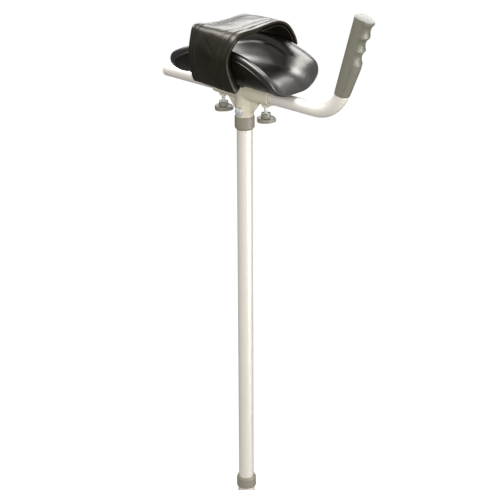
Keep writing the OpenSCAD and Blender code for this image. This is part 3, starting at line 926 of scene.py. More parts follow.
@dataclass
class Beam:
    """The beam tube with its end cap and the moulded hand grip."""

    handle_x: float = 190.0
    lean: float = math.atan(7 / 24)
    start: float = 36.5
    length: float = 129.0
    rear_radius: float = 12.5
    front_radius: float = 11.5
    front_centre: float = 9.5
    rounding: float = 0.7
    wrap: float = 0.040
    cap_rounding: float = 1.5
    hollow_rounding: float = 0.9
    seam_angle: float = 84.0
    seam_width: float = 8.0
    seam_depth: float = 1.0
    side_share: float = 0.55
    side_fade: float = 9.0

    def front_line(self, h: float) -> tuple[float, float]:
        """How far forward the grip reaches at a height, with its finger hollows.

        Args:
            h: Distance from the grip's lower end, in millimetres.

        Returns:
            Distance in front of the tube's axis, and how deep the hollow is there.
        """
        full = GRIP_FRONT[-1][1]
        for (h0, x0), (h1, x1) in zip(GRIP_FRONT, GRIP_FRONT[1:]):
            if h0 <= h <= h1:
                full = x0 + (x1 - x0) * (h - h0) / (h1 - h0)
        reach = full
        for centre_x, centre_h, radius in GRIP_HOLLOWS:
            if abs(h - centre_h) < radius:
                hollow = centre_x - math.sqrt(radius ** 2 - (h - centre_h) ** 2)
                reach = soft_min(reach, hollow, self.hollow_rounding)
        return reach, full - reach

    def grip_point(self, turn: float, h: float) -> Vector:
        """A point on the grip's skin.

        Args:
            turn: Place round the grip, from 0 to 1, starting at its back.
            h: Height above its lower end, in millimetres.

        Returns:
            The point, in metres.
        """
        angle = math.pi + turn * 2 * math.pi
        cos, sin = math.cos(angle), math.sin(angle)
        ahead = ramp(cos, -0.15, 0.15)
        radius = self.rear_radius + (self.front_radius - self.rear_radius) * ahead
        aside = math.degrees(math.acos(clamp(cos, -1.0, 1.0)))
        front, hollow = self.front_line(h)
        radius -= self.seam_depth * bell(aside, self.seam_angle, self.seam_width)
        wraps = 1 - ramp(aside, self.seam_angle - self.side_fade, self.seam_angle)
        radius -= self.side_share * hollow * wraps
        x = radius * cos + self.front_centre * ramp(cos, -0.35, 0.35)
        y = radius * sin
        if cos > -0.4:
            x = soft_min(x, front - self.wrap * y * y, self.rounding)
        run = self.start + h
        return at(self.handle_x + x * math.cos(self.lean) + run * math.sin(self.lean), y,
                  run * math.cos(self.lean) - x * math.sin(self.lean))

    def grip(self) -> None:
        """Builds the hand grip."""
        bm = wrapped(96, 120, lambda turn, run: self.grip_point(turn, run * self.length))
        bevel_caps(bm, self.cap_rounding)
        piece = to_object("moulded_grip", bm, GRIP_GREY, 50)
        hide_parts("hand_grip")
        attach(piece, "beam")

    def build(self) -> None:
        """Builds the grip and dresses the tube and cap."""
        self.grip()
        finish_node("beam_tube", BEAM_METAL)
        finish_node("beam_cap", CAP_CREAM)


# Padded and sewn pieces


# Added to an offset, so that one of zero still has a side
SIGN_KEEPER = 1e-6


@dataclass
class Trough:
    """The padded forearm trough: lining, outer skin and piping."""

    half: float = 110.0
    radius: float = 60.0
    flat: float = 16.0
    floor: float = 17.0
    centre_y: float = -2.0
    rim_height: float = 82.0
    rim_bow: float = 205.0
    corner: float = 28.0
    pad: float = 8.0
    carrier: float = 3.5
    middle_depth: float = 6.0
    core: float = 5.3
    core_rise: float = 2.2
    bead: float = 6.6
    bead_narrows: float = 3.2
    proud: float = 0.9
    valley: float = 13.0
    valley_depth: float = 1.3
    valley_width: float = 2.0
    crown: float = 5.0
    rim_roll: float = 8.5
    nose_start: float = 8.0
    nose_end: float = 84.0
    nose_roll: float = 31.0
    nose_fill: float = 12.0
    nose_dip: float = 0.3
    fall: float = 58.0
    hem: float = 9.4
    hem_step: float = 1.6
    pressure: float = 4.0
    swells: float = 1.2
    wave: float = 0.3
    pucker: float = 0.2
    skin_inset: float = 7.0
    skin_half: float = 0.45
    gather: float = 0.55
    piping_radius: float = 1.15
    turn_in: float = 30.0
    edge_lines: tuple[float, ...] = (0.0, 0.35, 1.1, 2.2, 3.6, 5.2, 7.0, 8.6, 9.8, 10.9, 12.0, 13.1, 14.6,
                                     16.6, 19.5, 23.5)

    def __post_init__(self) -> None:
        """Works out the places that the outline is drawn from."""
        self.arc = self.radius - self.flat
        self.middle = self.arc - self.middle_depth
        self.arc_z = self.floor + self.arc
        self.corner_x = self.half - self.corner
        self.bow_z = self.rim_height - self.rim_bow
        self.corner_z = math.sqrt((self.rim_bow - self.corner) ** 2 - self.corner_x ** 2) + self.bow_z
        self.touch_x = self.corner_x * self.rim_bow / (self.rim_bow - self.corner)

    def rim_z(self, x: float) -> float:
        """Height of the rim.

        Args:
            x: Place along the trough.

        Returns:
            The height, in millimetres.
        """
        if abs(x) < self.touch_x:
            return math.sqrt(self.rim_bow ** 2 - x * x) + self.bow_z
        return self.corner_z + math.sqrt(max(0.0, self.corner ** 2 - (abs(x) - self.corner_x) ** 2))

    def rim_length(self, x: float) -> float:
        """Length of the section from its middle to the rim, at middle depth."""
        return self.flat + self.middle * math.pi / 2 + self.rim_z(x) - self.arc_z

    def section(self, x: float, s: float, depth: float) -> Vector:
        """A point of the trough.

        Args:
            x: Place along the trough.
            s: Length along the section from its middle, measured at middle depth.
            depth: Depth below the outside.

        Returns:
            The point, in metres.
        """
        side = -1.0 if s < 0 else 1.0
        q = abs(s)
        turn = clamp((q - self.flat) / self.middle, 0.0, math.pi / 2)
        up = max(0.0, q - self.flat - self.middle * math.pi / 2)
        r = self.arc - depth
        return at(x, self.centre_y + side * (min(q, self.flat) + r * math.sin(turn)),
                  self.arc_z - r * math.cos(turn) + up)

    def edge(self, x: float, s: float) -> float:
        """Distance from the trough's outline, measured along its skin.

        Args:
            x: Place along the trough.
            s: Length along the section at middle depth.

        Returns:
            The distance, in millimetres.
        """
        up = self.arc_z + abs(s) - self.flat - self.middle * math.pi / 2
        dx, dz = abs(x) - self.corner_x, up - self.corner_z
        if dx > 0 and dz > 0 and math.atan2(dz, dx) < math.acos(self.touch_x / self.rim_bow):
            return max(0.0, self.corner - math.hypot(dx, dz))
        return max(0.0, min(self.half - abs(x), self.rim_bow - math.hypot(x, up - self.bow_z)))

    def lines(self, inset: float, step: float) -> tuple[list[float], list[float]]:
        """Grid lines of a sheet, close together near its edges.

        Args:
            inset: How far the sheet stops short of the outline.
            step: Spacing away from the edges.

        Returns:
            Places along the trough, and offsets from the rim with the side as sign.
        """
        near, last = list(self.edge_lines), self.edge_lines[-1]
        half = self.half - inset
        count = round((half - last) / step)
        xs = [half - n for n in near] + [(half - last) * (1 - k / count) for k in range(1, count + 1)]
        length = self.rim_length(0.0) - inset
        count = round((length - last) / step)
        offsets = near + [last + (length - last) * k / count for k in range(1, count + 1)]
        return ([-x for x in xs[:-1]] + xs[::-1],
                [-(o + SIGN_KEEPER) for o in offsets[:-1]] + [length]
                + [o + SIGN_KEEPER for o in offsets[-2::-1]])

    def spot(self, x: float, offset: float, inset: float) -> tuple[float, float]:
        """Finds where a grid line crosses another.

        Args:
            x: Place along the trough.
            offset: Offset from the rim, negative on the near side.
            inset: How far the sheet stops short of the outline.

        Returns:
            Signed section length and distance from the sheet's own edge.
        """
        full = self.rim_length(0.0) - inset
        here = self.rim_length(x / (self.half - inset) * self.half) - inset
        run = abs(offset)
        s = here - run
        if run >= self.turn_in:
            s = (here - self.turn_in) * (1 - (run - self.turn_in) / (full - self.turn_in))
        side = -1.0 if offset < 0 else 1.0
        return side * max(0.0, s), run

    def lining_depths(self, x: float, e: float) -> tuple[float, float]:
        """Depths of the lining's outer and inner faces.

        Args:
            x: Place along the trough.
            e: Distance from the outline.

        Returns:
            Outer and inner depth, in millimetres.
        """
        nose = ramp(abs(x), self.nose_start, self.nose_end)
        core = self.core - self.core_rise * nose
        lip = arched(e, self.rim_roll) * (1 - nose) + arched(e, self.nose_roll) * nose
        outer = core - (core + self.proud) * arched(e, self.bead - self.bead_narrows * nose)
        outer += self.hem_step * ramp(e, self.hem - 0.9, self.hem + 0.5)
        swell = self.crown * (1 - nose) * ramp(e, self.valley - 4, self.valley + 26)
        swell += self.nose_fill * nose * (lip - self.nose_dip * ramp(e, 40.0, 80.0))
        full = (self.carrier + self.pad - core) * lip + swell
        inner = core + full * arched(self.half - abs(x), self.fall)
        inner -= self.valley_depth * bell(e, self.valley, self.valley_width) * (1 - nose)
        return outer, inner

    def lining(self) -> None:
        """Builds the padded lining that wraps over the rim."""
        xs, offsets = self.lines(0.0, 5.0)

        def shape(x: float, offset: float, side: int) -> Vector:
            """A point of the lining.

            Args:
                x: Place along the trough.
                offset: Offset from the rim, negative on the near side.
                side: 0 for the outer face and 1 for the inner one.

            Returns:
                The point, in metres.
            """
            s, run = self.spot(x, offset, 0.0)
            e = 0.0 if run < 0.001 or abs(x) > self.half - 0.001 else self.edge(x, s)
            return self.section(x, s, self.lining_depths(x, e)[side])

        bm = layered(xs, offsets, shape)
        piece = to_object("trough_lining", bm, PAD_VINYL, 75)
        inner_limit = self.carrier + self.pad - 1.5

        def held(co: Vector) -> bool:
            """Holds all but the inner face away from the rim and the valley."""
            _, depth, e = self.locate(co)
            return depth < inner_limit or e < self.valley + 2.5

        inflate(piece, held, self.pressure, self.swells)
        subdivide(piece)
        self.crease(piece)
        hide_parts("trough_pad")
        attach(piece, "post")

    def locate(self, co: Vector) -> tuple[float, float, float]:
        """Finds a point's place on the trough.

        Args:
            co: The point, in metres.

        Returns:
            Its x, its depth below the outside and its distance from the outline.
        """
        x, y, z = co.x / MM, co.y / MM - self.centre_y, co.z / MM - BEAM_HEIGHT
        side = abs(y) - self.flat
        if z > self.arc_z:
            depth, s = self.arc - side, self.flat + self.middle * math.pi / 2 + z - self.arc_z
        elif side > 0:
            depth = self.arc - math.hypot(side, self.arc_z - z)
            s = self.flat + self.middle * math.atan2(side, self.arc_z - z)
        else:
            depth, s = z - self.floor, abs(y)
        return x, depth, self.edge(x, s)

    def crease(self, piece: bpy.types.Object) -> None:
        """Presses a soft unevenness and fine puckers into the lining's inner face.

        Args:
            piece: The lining.
        """
        normals = [v.normal.copy() for v in piece.data.vertices]
        for v, normal in zip(piece.data.vertices, normals):
            x, depth, e = self.locate(v.co)
            if depth > self.carrier and e > 2.0:
                wave = noise.noise(Vector((x / 34.0, v.co.y / MM / 30.0, v.co.z / MM / 30.0)))
                pucker = noise.noise(Vector((x / 7.0, v.co.y / MM / 7.0, v.co.z / MM / 7.0 + 9.0)))
                lift = self.wave * wave * ramp(e, 14.0, 30.0)
                lift += self.pucker * pucker * bell(e, self.valley + 1.5, 4.0)
                v.co += normal * lift * MM
        piece.data.update()

    def skin(self) -> None:
        """Builds the outer skin, gathered under the hem toward the bottom."""
        inset = self.skin_inset
        xs, offsets = self.lines(inset, 3.0)

        def shape(x: float, offset: float, side: int) -> Vector:
            """A point of the skin.

            Args:
                x: Place along the trough.
                offset: Offset from the rim, negative on the near side.
                side: 0 for the outer face and 1 for the inner one.

            Returns:
                The point, in metres.
            """
            s, run = self.spot(x, offset, inset)
            e = min(run, self.half - inset - abs(x))
            lip = arched(e, 0.5)
            outer = self.skin_half - self.skin_half * lip
            if side:
                return self.section(x, s, self.skin_half + 0.5 * lip)
            low = ramp(self.rim_length(x) - abs(s), 30.0, 75.0)
            clear = ramp(abs(x + 1.0), 50.0, 62.0) * ramp(e, 1.0, 12.0)
            fold = math.sin(x / 5.2 + 2.2 * noise.noise(Vector((x / 25.0, s / 22.0, 0.0))) + 0.06 * s)
            wave = noise.noise(Vector((x / 22.0, s / 45.0, 4.0)))
            stands = self.gather * low * (fold + 1.0) * 0.5 + 0.5 * (wave + 0.5)
            return self.section(x, s, outer - clear * stands)

        bm = layered(xs, offsets, shape)
        piece = to_object("trough_skin", bm, OUTER_VINYL, 60)
        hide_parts("trough_cover")
        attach(piece, "post")

    def piping_path(self) -> list[Vector]:
        """Finds the piping's loop, at the hem's distance from the outline.

        Returns:
            Its points in order, in metres.
        """
        inset, depth, rows = self.hem + 0.6, -0.25, 40
        half = self.half - inset

        def s_at(x: float) -> float:
            """Finds where the loop crosses a section, by halving.

            Args:
                x: Place along the trough.

            Returns:
                Section length of the crossing.
            """
            low, high = self.rim_length(self.half) * 0.5, self.rim_length(0.0)
            for _ in range(30):
                middle = (low + high) / 2
                if self.edge(x, middle) > inset:
                    low = middle
                else:
                    high = middle
            return low

        xs = [half * math.sin(math.radians(a)) for a in range(-88, 89, 4)]
        far = [(x, s_at(x)) for x in xs]
        end = far[-1][1]
        across = [(half, end * (1 - 2 * k / rows)) for k in range(1, rows)]
        loop = far + across + [(x, -s) for x, s in reversed(far)] + [(-x, -s) for x, s in across]
        return [self.section(x, s, depth) for x, s in loop]

    def piping(self) -> None:
        """Builds the cord that trims the hem on the outside."""
        bm = swept(self.piping_path(), self.piping_radius, 10, closed=True)
        piece = to_object("trough_piping", bm, PAD_VINYL, 70)
        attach(piece, "post")

    def build(self) -> None:
        """Builds the trough's soft pieces and dresses its carrier."""
        self.lining()
        self.skin()
        self.piping()
        finish_node("trough_shell", BLACK_PLASTIC)
        finish_node("trough_screws", ZINC)


@dataclass
class Band:
    """A band of cloth across the cuff, between a rear and a front line of [y, z] points."""

    rear_line: Line
    front_line: Line
    first: float
    last: float
    rear: float = -46.0
    front: float = 44.0
    first_corner: float = 9.0
    last_corner: float = 3.0
    bulge: float = 0.0
    bulge_start: float = 2.0
    bulge_length: float = 88.0
    bulge_lean: float = 1.1
    waist: tuple[float, float, float] | None = None
    steps: int = 240

    def __post_init__(self) -> None:
        """Measures the band's middle line."""
        self.middle = (self.rear + self.front) / 2
        self.half = (self.front - self.rear) / 2
        self.found: dict[float, float] = {}
        self.run = [0.0]
        before = self.point(self.middle, self.first, 0.0)
        for k in range(1, self.steps + 1):
            here = self.point(self.middle, self.first + (self.last - self.first) * k / self.steps, 0.0)
            self.run.append(self.run[-1] + (here - before).length / MM)
            before = here

    @property
    def length(self) -> float:
        """Length of the middle line, in millimetres."""
        return self.run[-1]

    def station(self, a: float) -> float:
        """Finds the line's parameter at a length along it.

        Args:
            a: Length from the line's first end.

        Returns:
            The parameter.
        """
        if a not in self.found:
            k = int(clamp(bisect_left(self.run, a), 1, self.steps))
            f = k - 1 + (a - self.run[k - 1]) / (self.run[k] - self.run[k - 1])
            self.found[a] = self.first + (self.last - self.first) * min(f, self.steps) / self.steps
        return self.found[a]

    def on_line(self, x: float, t: float) -> Vector:
        """A point of the smooth line through the control points.

        Args:
            x: Place across, which mixes the rear line and the front one.
            t: Parameter along the line, one for each control point.

        Returns:
            The point as [y, z], in millimetres.
        """
        f = (x - self.rear) / (self.front - self.rear)
        last = len(self.rear_line) - 1
        i = int(min(math.floor(t), last - 1))
        g = t - i
        points = []
        for k in (i - 1, i, i + 1, i + 2):
            k = int(clamp(k, 0, last))
            points.append(Vector(self.rear_line[k]) * (1 - f) + Vector(self.front_line[k]) * f)
        a, b, c, d = points
        return 0.5 * (2 * b + (c - a) * g + (2 * a - 5 * b + 4 * c - d) * g * g
                      + (3 * b - a - 3 * c + d) * g ** 3)

    def point(self, x: float, t: float, depth: float) -> Vector:
        """A point at a depth below the band's outer line.

        Args:
            x: Place across the band.
            t: Parameter along its line.
            depth: Depth inwards, in millimetres.

        Returns:
            The point, in metres.
        """
        top = len(self.rear_line) - 1
        here = self.on_line(x, clamp(t, 0.0, top))
        d = self.on_line(x, min(t + 0.02, top)) - self.on_line(x, max(t - 0.02, 0.0))
        d.normalize()
        return at(x, here.x + depth * d.y, here.y - depth * d.x)

    def pulled_in(self, a: float) -> float:
        """How far the long edges draw in near a rounded end."""
        return (self.first_corner * (1 - arched(a, self.first_corner))
                + self.last_corner * (1 - arched(self.length - a, self.last_corner)))

    def place(self, x: float, a: float, depth: float) -> Vector:
        """A point of the sewn band, with its rounded ends, its waist and its bulge.

        Args:
            x: Place across.
            a: Length along.
            depth: Depth below the outer line, in millimetres.

        Returns:
            The point, in metres.
        """
        t = self.station(a)
        reach = self.half - self.pulled_in(a)
        if self.waist:
            start, end, narrow = self.waist
            reach += (min(narrow, reach) - reach) * ramp(t, start, end)
        spot = self.middle + (x - self.middle) * reach / self.half
        belly = 0.0
        if self.bulge:
            up = clamp((a - self.bulge_start) / self.bulge_length, 0.0, 1.0)
            belly = math.sin(math.pi * up) ** 1.5
        spot -= self.bulge * self.bulge_lean * belly * ramp(x, self.middle, self.front)
        return self.point(spot, t, depth - self.bulge * belly)

    def edge(self, x: float, a: float) -> float:
        """Distance from the band's nearest edge."""
        return max(0.0, min(x - self.rear, self.front - x, a, self.length - a))


# Control points of the cuff's edges, as [y, z], from the near side over the top to the far side. The
# strap's go on down the far side and back under the trough.
FLAP_FRONT: Line = ((-66, 15.5), (-70, 25), (-71, 45), (-72, 70), (-71, 92), (-66, 103), (-56, 109),
                    (-40, 111), (-22, 111), (-2, 112.5), (20, 114), (37, 112.5), (53, 105), (64, 94),
                    (73, 80), (78, 66))
FLAP_REAR: Line = ((-66, 20), (-70, 27), (-71, 45), (-72, 70), (-72, 95), (-70, 108), (-60, 112),
                   (-45, 109), (-28, 106.5), (-10, 105.5), (14, 105.5), (38, 106.5), (54, 104), (64, 94),
                   (73, 80), (78, 66))
STRAP_FRONT: Line = ((-8, 105.6), (6, 106.1), (20, 107.2), (34, 106.1), (47, 100.2), (57, 90.5),
                     (66, 77), (71, 62), (72.5, 46), (71, 32), (65, 21), (54, 15.6), (40, 15), (16, 15),
                     (-16, 15), (-40, 15), (-60, 15))
STRAP_REAR: Line = ((-8, 98.5), (6, 98.5), (20, 98.6), (34, 98.8), (46, 96.2), (56, 87.5),
                    (65, 75.5), (70.5, 62), (72.5, 46), (71, 32), (65, 21), (54, 15.6), (40, 15), (16, 15),
                    (-16, 15), (-40, 15), (-60, 15))


@dataclass
class Cuff:
    """The closing cuff: padded flap, strap, fastening tapes and stitching."""

    thick: float = 4.5
    near_thick: float = 3.8
    near_fade: tuple[float, float] = (138.0, 156.0)
    foot_thick: float = 6.5
    foot_fade: tuple[float, float] = (6.0, 70.0)
    lip: float = 1.9
    channel: float = 1.35
    channel_width: float = 1.1
    crown: float = 0.9
    pressure: float = 4.0
    swells: float = 1.8
    dent: float = 0.9
    slant: float = 1.1
    strap_thick: float = 2.0
    strap_seam: float = 5.0
    tape: float = 0.8
    gap: float = 0.15
    rear_seams: tuple[float, ...] = (7.5, 14.0)
    front_seams: tuple[float, ...] = (11.0, 25.0)
    stitch_pitch: float = 3.2
    stitch_length: float = 2.1
    stitch_radius: float = 0.36
    stitch_margin: float = 7.0
    flap_columns: tuple[float, ...] = (0.0, 0.25, 0.9, 1.8, 3.0, 4.6, 6.0, 6.8, 7.5, 8.2, 9.2, 10.4, 11.2,
                                       12.2, 13.2, 14.0, 14.8, 16.2, 18.5, 21.5, 23.6, 25.0, 26.4)
    flap_rows: tuple[float, ...] = (0.0, 0.3, 1.0, 2.0, 3.4, 5.5, 8.0, 11.0)
    strap_columns: tuple[float, ...] = (0.0, 0.2, 0.6, 1.1, 1.8, 3.0, 4.2, 5.0, 5.8, 7.0)
    strap_rows: tuple[float, ...] = (0.0, 0.3, 0.9, 2.0, 4.0)

    def __post_init__(self) -> None:
        """Draws the two bands."""
        self.flap_band = Band(FLAP_REAR, FLAP_FRONT, 0.0, 15.0, first_corner=3.0, bulge=7.0)
        self.strap_band = Band(STRAP_REAR, STRAP_FRONT, 0.0, 15.8, first_corner=5.0,
                               waist=(10.6, 12.2, 15.0))

    def seam_dip(self, x: float) -> float:
        """How deep the flap's sewn channels are at a place.

        Args:
            x: Place across.

        Returns:
            The depth, from 0 to 1.
        """
        band = self.flap_band
        dips = [bell(x - band.rear, s, self.channel_width) for s in self.rear_seams]
        dips += [bell(band.front - x, s, self.channel_width) for s in self.front_seams]
        return max(dips)

    def flap_depths(self, x: float, a: float) -> tuple[float, float]:
        """Depths of the flap's outer and inner faces at a place.

        Args:
            x: Place across.
            a: Length along.

        Returns:
            Outer and inner depth, in millimetres.
        """
        e = self.flap_band.edge(x, a)
        thick = self.thick + self.near_thick * (1 - ramp(a, *self.near_fade))
        thick += self.foot_thick * (1 - ramp(a, *self.foot_fade))
        lip = arched(e, self.lip)
        middle = thick / 2
        outer = middle - (middle + 0.2) * lip
        outer += self.channel * self.seam_dip(x) * ramp(a, 0.0, 8.0)
        outer -= self.crown * ramp(e, 15.0, 32.0)
        return outer, middle + middle * lip

    def flap(self) -> None:
        """Builds the padded flap, swells it between its seams and adds its dents and crease."""
        band = self.flap_band
        xs = [band.rear + w for w in spaced(band.front - band.rear, self.flap_columns, 4.0)]
        lengths = spaced(band.length, self.flap_rows, 3.4)

        def shape(x: float, a: float, side: int) -> Vector:
            """A point of the flap's outer or inner face."""
            return band.place(x, a, self.flap_depths(x, a)[side])

        piece = to_object("cuff_flap_padded", layered(xs, lengths, shape), CUFF_VINYL, 75)
        sewn = set()
        for x in xs:
            for a in lengths:
                sewn.add(rounded_off(shape(x, a, 1)))
                if self.seam_dip(x) > 0.35 or band.edge(x, a) < 5.0:
                    sewn.add(rounded_off(shape(x, a, 0)))
        inflate(piece, lambda co: rounded_off(co) in sewn, self.pressure, self.swells)
        subdivide(piece)
        self.crumple(piece)
        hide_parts("cuff_flap")
        self.bend(piece)

    def crumple(self, piece: bpy.types.Object) -> None:
        """Adds the shallow dents and the slanting crease of a worn flap.

        Args:
            piece: The flap.
        """
        band = self.flap_band
        normals = [v.normal.copy() for v in piece.data.vertices]
        for v, normal in zip(piece.data.vertices, normals):
            if normal.y >= -0.4 and normal.z <= 0.4:
                continue
            x, y, z = v.co.x / MM, v.co.y / MM, v.co.z / MM - BEAM_HEIGHT
            body = ramp(min(x - band.rear, band.front - x), 2.0, 12.0)
            dent = noise.noise(Vector((x / 24.0, y / 24.0, z / 24.0))) * self.dent
            line = (z - 88.0) + 0.9 * (x + 6.0)
            slant = -self.slant * bell(line, 0.0, 3.0) * bell(x, -6.0, 12.0) * ramp(-y, 40.0, 60.0)
            v.co += normal * (dent * body + slant) * MM
        piece.data.update()

    def bend(self, piece: bpy.types.Object) -> None:
        """Bakes a piece's placement into its mesh."""
        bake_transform(piece)

    def strap(self) -> None:
        """Builds the strap that passes under the trough and up the far side."""
        band = self.strap_band
        xs = [band.rear + w for w in spaced(band.front - band.rear, self.strap_columns, 4.5)]
        lengths = spaced(band.length, self.strap_rows, 3.5)

        def shape(x: float, a: float, side: int) -> Vector:
            """A point of the strap.

            Args:
                x: Place across.
                a: Length along.
                side: 0 for the outer face and 1 for the inner one.

            Returns:
                The point, in metres.
            """
            lip = arched(band.edge(x, a), 1.1)
            middle, seam = self.strap_thick / 2, self.strap_seam
            dip = 0.3 * max(bell(x - band.rear, seam, 0.8), bell(band.front - x, seam, 0.8))
            swing = (middle - dip) * lip
            return band.place(x, a, middle + swing if side else middle - swing)

        piece = to_object("cuff_strap_webbing", layered(xs, lengths, shape), CUFF_VINYL, 60)
        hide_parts("cuff_strap")
        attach(piece, "post")

    def tape_piece(self, name: str, band: Band, rows: tuple[float, float], columns: tuple[float, float],
                   depths: tuple[float, float]) -> bpy.types.Object:
        """Builds a sewn-on strip of fastening tape.

        Args:
            name: The piece's name.
            band: Band that it lies on.
            rows: First and last parameter along the band's line.
            columns: First and last place across.
            depths: Depth of its outer and inner face.

        Returns:
            The piece.
        """
        xs = [columns[0] + w for w in spaced(columns[1] - columns[0], [0.0, 0.15, 0.5, 1.2], 3.0)]
        ts = [rows[0] + w for w in spaced(rows[1] - rows[0], [0.0, 0.008, 0.03, 0.07], 0.12)]
        middle = (depths[0] + depths[1]) / 2
        half = abs(depths[1] - depths[0]) / 2

        def shape(x: float, t: float, side: int) -> Vector:
            """A point of the tape.

            Args:
                x: Place across.
                t: Parameter along the band's line, about 16 mm for each step of 1.
                side: 0 for the outer face and 1 for the inner one.

            Returns:
                The point, in metres.
            """
            lip = arched(min(x - columns[0], columns[1] - x, (t - rows[0]) * 16.0, (rows[1] - t) * 16.0), 0.5)
            return band.point(x, t, middle + (half if side else -half) * lip)

        return to_object(name, layered(xs, ts, shape), TAPE_LOOP, 60)

    def tapes(self) -> None:
        """Builds the loop tape on the strap and the hook tape inside the flap."""
        loop = self.tape_piece("loop_tape", self.strap_band, (0.5, 3.0), (-34.0, 32.0),
                               (-self.tape - self.gap, -self.gap))
        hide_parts("loop_patch")
        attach(loop, "post")
        inside = self.thick + self.gap
        hook = self.tape_piece("hook_tape", self.flap_band, (9.0, 11.0), (-32.0, 30.0),
                               (inside, inside + self.tape))
        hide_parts("hook_patch")
        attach(hook, "flap")

    def stitches(self, name: str, band: Band, rows: Sequence[float],
                 depth: Callable[[float, float], float]) -> bpy.types.Object:
        """Builds rows of stitches along a band.

        Args:
            name: The piece's name.
            band: Band that they are sewn into.
            rows: Places across, one for each row.
            depth: Depth of the cloth's face at a place across and a length along.

        Returns:
            All the stitches as one piece.
        """
        bm = bmesh.new()
        half, wide, start = self.stitch_length / 2, self.stitch_radius * MM, 2.0
        for x in rows:
            for k in range(1, int((band.length - 2 * start) / self.stitch_pitch)):
                a = start + k * self.stitch_pitch
                if a < self.stitch_margin or a > band.length - self.stitch_margin:
                    continue
                p, q = (band.place(x, spot, depth(x, a) - 0.05) for spot in (a - half, a + half))
                run = q - p
                turn = run.to_track_quat("Z", "Y").to_matrix().to_4x4()
                size = Matrix.Diagonal((wide, wide, run.length / 2, 1.0))
                bmesh.ops.create_icosphere(bm, subdivisions=1, radius=1.0,
                                           matrix=Matrix.Translation((p + q) / 2) @ turn @ size)
        return to_object(name, bm, THREAD, 80)

    def sewing(self) -> None:
        """Sews the flap's edges and the strap's edges."""
        band = self.flap_band
        rows = [band.rear + s for s in self.rear_seams] + [band.front - s for s in self.front_seams]
        piece = self.stitches("flap_stitching", band, rows, lambda x, a: self.flap_depths(x, a)[0])
        self.bend(piece)
        band = self.strap_band
        rows = [band.rear + self.strap_seam, band.front - self.strap_seam]
        piece = self.stitches("strap_stitching", band, rows, lambda x, a: 0.3)
        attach(piece, "post")

    def build(self) -> None:
        """Builds the cuff's pieces."""
        self.flap()
        self.strap()
        self.tapes()
        self.sewing()


# Studio


class Shows(Enum):
    """What a lamp is hung for: the colours of the surfaces or their gloss."""

    COLOUR = "colour"
    GLOSS = "gloss"


@dataclass
class Softbox:
    """A rectangular lamp aimed at the crutch's head."""

    name: str
    place: tuple[float, float, float]
    width: float
    height: float
    power: float
    shows: Shows
    colour: Colour = (1.0, 0.995, 0.98)
    target: tuple[float, float, float] = (0.03, 0.0, 1.0)

    def build(self) -> None:
        """Hangs the lamp."""
        data = bpy.data.lights.new(self.name, "AREA")
        data.shape = "RECTANGLE"
        data.size = self.width
        data.size_y = self.height
        data.energy = self.power
        data.color = self.colour
        lamp = bpy.data.objects.new(self.name, data)
        lamp.location = self.place
        aim = Vector(self.target) - Vector(self.place)
        lamp.rotation_euler = aim.to_track_quat("-Z", "Y").to_euler()
        lamp.visible_diffuse = self.shows is Shows.COLOUR
        lamp.visible_glossy = self.shows is Shows.GLOSS
        bpy.context.scene.collection.objects.link(lamp)


LAMPS = (
    Softbox("top_softbox", (-0.30, -0.40, 2.6), 1.1, 1.4, 66.0, Shows.GLOSS),
    Softbox("key_softbox", (-1.25, -0.42, 2.35), 0.7, 0.9, 22.0, Shows.GLOSS),
    Softbox("back_softbox", (-0.85, 1.45, 2.0), 1.5, 0.9, 32.0, Shows.GLOSS),
    Softbox("right_softbox", (2.1, 0.45, 0.8), 0.6, 1.6, 44.0, Shows.GLOSS),
    Softbox("front_fill", (1.7, -1.8, 1.3), 2.0, 2.0, 58.0, Shows.COLOUR),
    Softbox("right_fill", (2.4, 1.2, 1.1), 1.2, 1.8, 34.0, Shows.COLOUR),
    Softbox("top_fill", (-0.4, -0.5, 2.8), 1.2, 1.2, 16.0, Shows.COLOUR),
)


@dataclass(frozen=True)
class Level:
    """Strength of a white background: to the eye, in gloss and glass, and for other light."""

    eye: float
    mirrored: float
    lit: float

    def strength(self, g: Graph) -> bpy.types.NodeSocket:
        """Picks the strength by the kind of ray.

        Args:
            g: Graph of the material or world.

        Returns:
            The strength.
        """
        path = g.add("ShaderNodeLightPath").outputs
        gloss = g.math("MULTIPLY", g.math("MAXIMUM", path["Is Glossy Ray"], path["Is Transmission Ray"]),
                       self.mirrored)
        return g.math("MAXIMUM", g.spread(path["Is Camera Ray"], self.lit, self.eye), gloss)


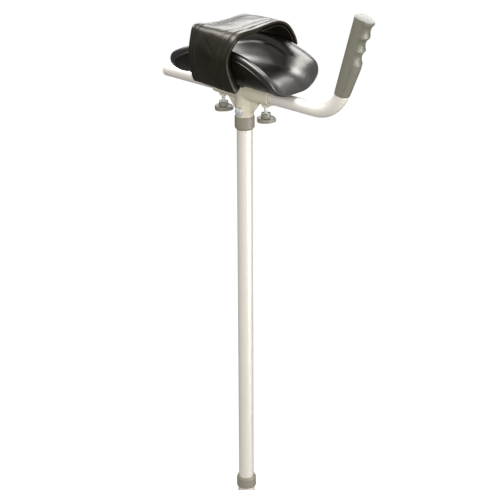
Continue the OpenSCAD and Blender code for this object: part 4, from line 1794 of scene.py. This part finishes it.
@dataclass
class Studio:
    """Camera, floor, background and lamps."""

    heading: float = 43.32
    pitch: float = 22.73
    roll: float = -0.30
    distance: float = 2566.0
    shift_right: float = 0.8
    shift_up: float = -244.5
    focal_pixels: float = 1628.0
    frame_pixels: float = 490.0
    paper: Colour = (0.17, 0.17, 0.168)
    white: Colour = (1.0, 1.0, 1.0)
    floor_size: float = 30.0
    floor_level: Level = Level(0.895, 0.05, 0.0)
    sky_level: Level = Level(1.0, 0.28, 0.60)

    def camera(self) -> None:
        """Places the camera at the photograph's viewpoint."""
        phi, p, roll = (math.radians(a) for a in (self.heading, self.pitch, self.roll))
        back = Vector((math.sin(phi) * math.cos(p), -math.cos(phi) * math.cos(p), math.sin(p)))
        right = Vector((math.cos(phi), math.sin(phi), 0.0))
        up = Vector((-math.sin(phi) * math.sin(p), math.cos(phi) * math.sin(p), math.cos(p)))
        right, up = (right * math.cos(roll) + up * math.sin(roll),
                     up * math.cos(roll) - right * math.sin(roll))
        spot = back * self.distance + right * self.shift_right + up * self.shift_up
        data = bpy.data.cameras.new("camera")
        data.sensor_width = 36.0
        data.lens = self.focal_pixels / self.frame_pixels * data.sensor_width
        data.clip_end = 60.0
        eye = bpy.data.objects.new("camera", data)
        turn = Matrix((right, up, back)).transposed().to_4x4()
        eye.matrix_world = Matrix.Translation(at(*spot)) @ turn
        bpy.context.scene.collection.objects.link(eye)
        bpy.context.scene.camera = eye

    def floor(self) -> None:
        """Lays a wide pale floor that shows white and keeps the shadow."""
        bm = bmesh.new()
        bmesh.ops.create_grid(bm, x_segments=1, y_segments=1, size=self.floor_size)
        mesh = bpy.data.meshes.new("floor")
        bm.to_mesh(mesh)
        bm.free()
        ground = bpy.data.objects.new("floor", mesh)
        bpy.context.scene.collection.objects.link(ground)
        material = bpy.data.materials.new("studio_floor")
        material.use_nodes = True
        material.node_tree.nodes.clear()
        g = Graph(material.node_tree)
        paper = g.add("ShaderNodeBsdfDiffuse", {"Color": self.paper})
        glow = g.add("ShaderNodeEmission", {"Color": self.white, "Strength": self.floor_level.strength(g)})
        both = g.add("ShaderNodeAddShader", {0: paper.outputs[0], 1: glow.outputs[0]})
        g.add("ShaderNodeOutputMaterial", {"Surface": both.outputs[0]})
        mesh.materials.append(material)

    def sky(self) -> None:
        """Sets the background: white to the eye, and a soft level for the light."""
        world = bpy.data.worlds.new("studio")
        bpy.context.scene.world = world
        world.use_nodes = True
        world.node_tree.nodes.clear()
        g = Graph(world.node_tree)
        back = g.add("ShaderNodeBackground", {"Color": self.white, "Strength": self.sky_level.strength(g)})
        g.add("ShaderNodeOutputWorld", {"Surface": back.outputs[0]})

    def build(self) -> None:
        """Sets the camera, floor, background and lamps."""
        self.camera()
        self.floor()
        self.sky()
        for box in LAMPS:
            box.build()
        bpy.context.scene.view_settings.view_transform = "Standard"


def main() -> None:
    """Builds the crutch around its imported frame, then the studio."""
    Studio().build()
    Upright().build()
    Bracket().build()
    ClampScrew("rear", -46.0).build()
    ClampScrew("front", 46.0).build()
    Beam().build()
    Trough().build()
    Cuff().build()
    bpy.context.view_layer.update()


if __name__ == "__main__":
    main()
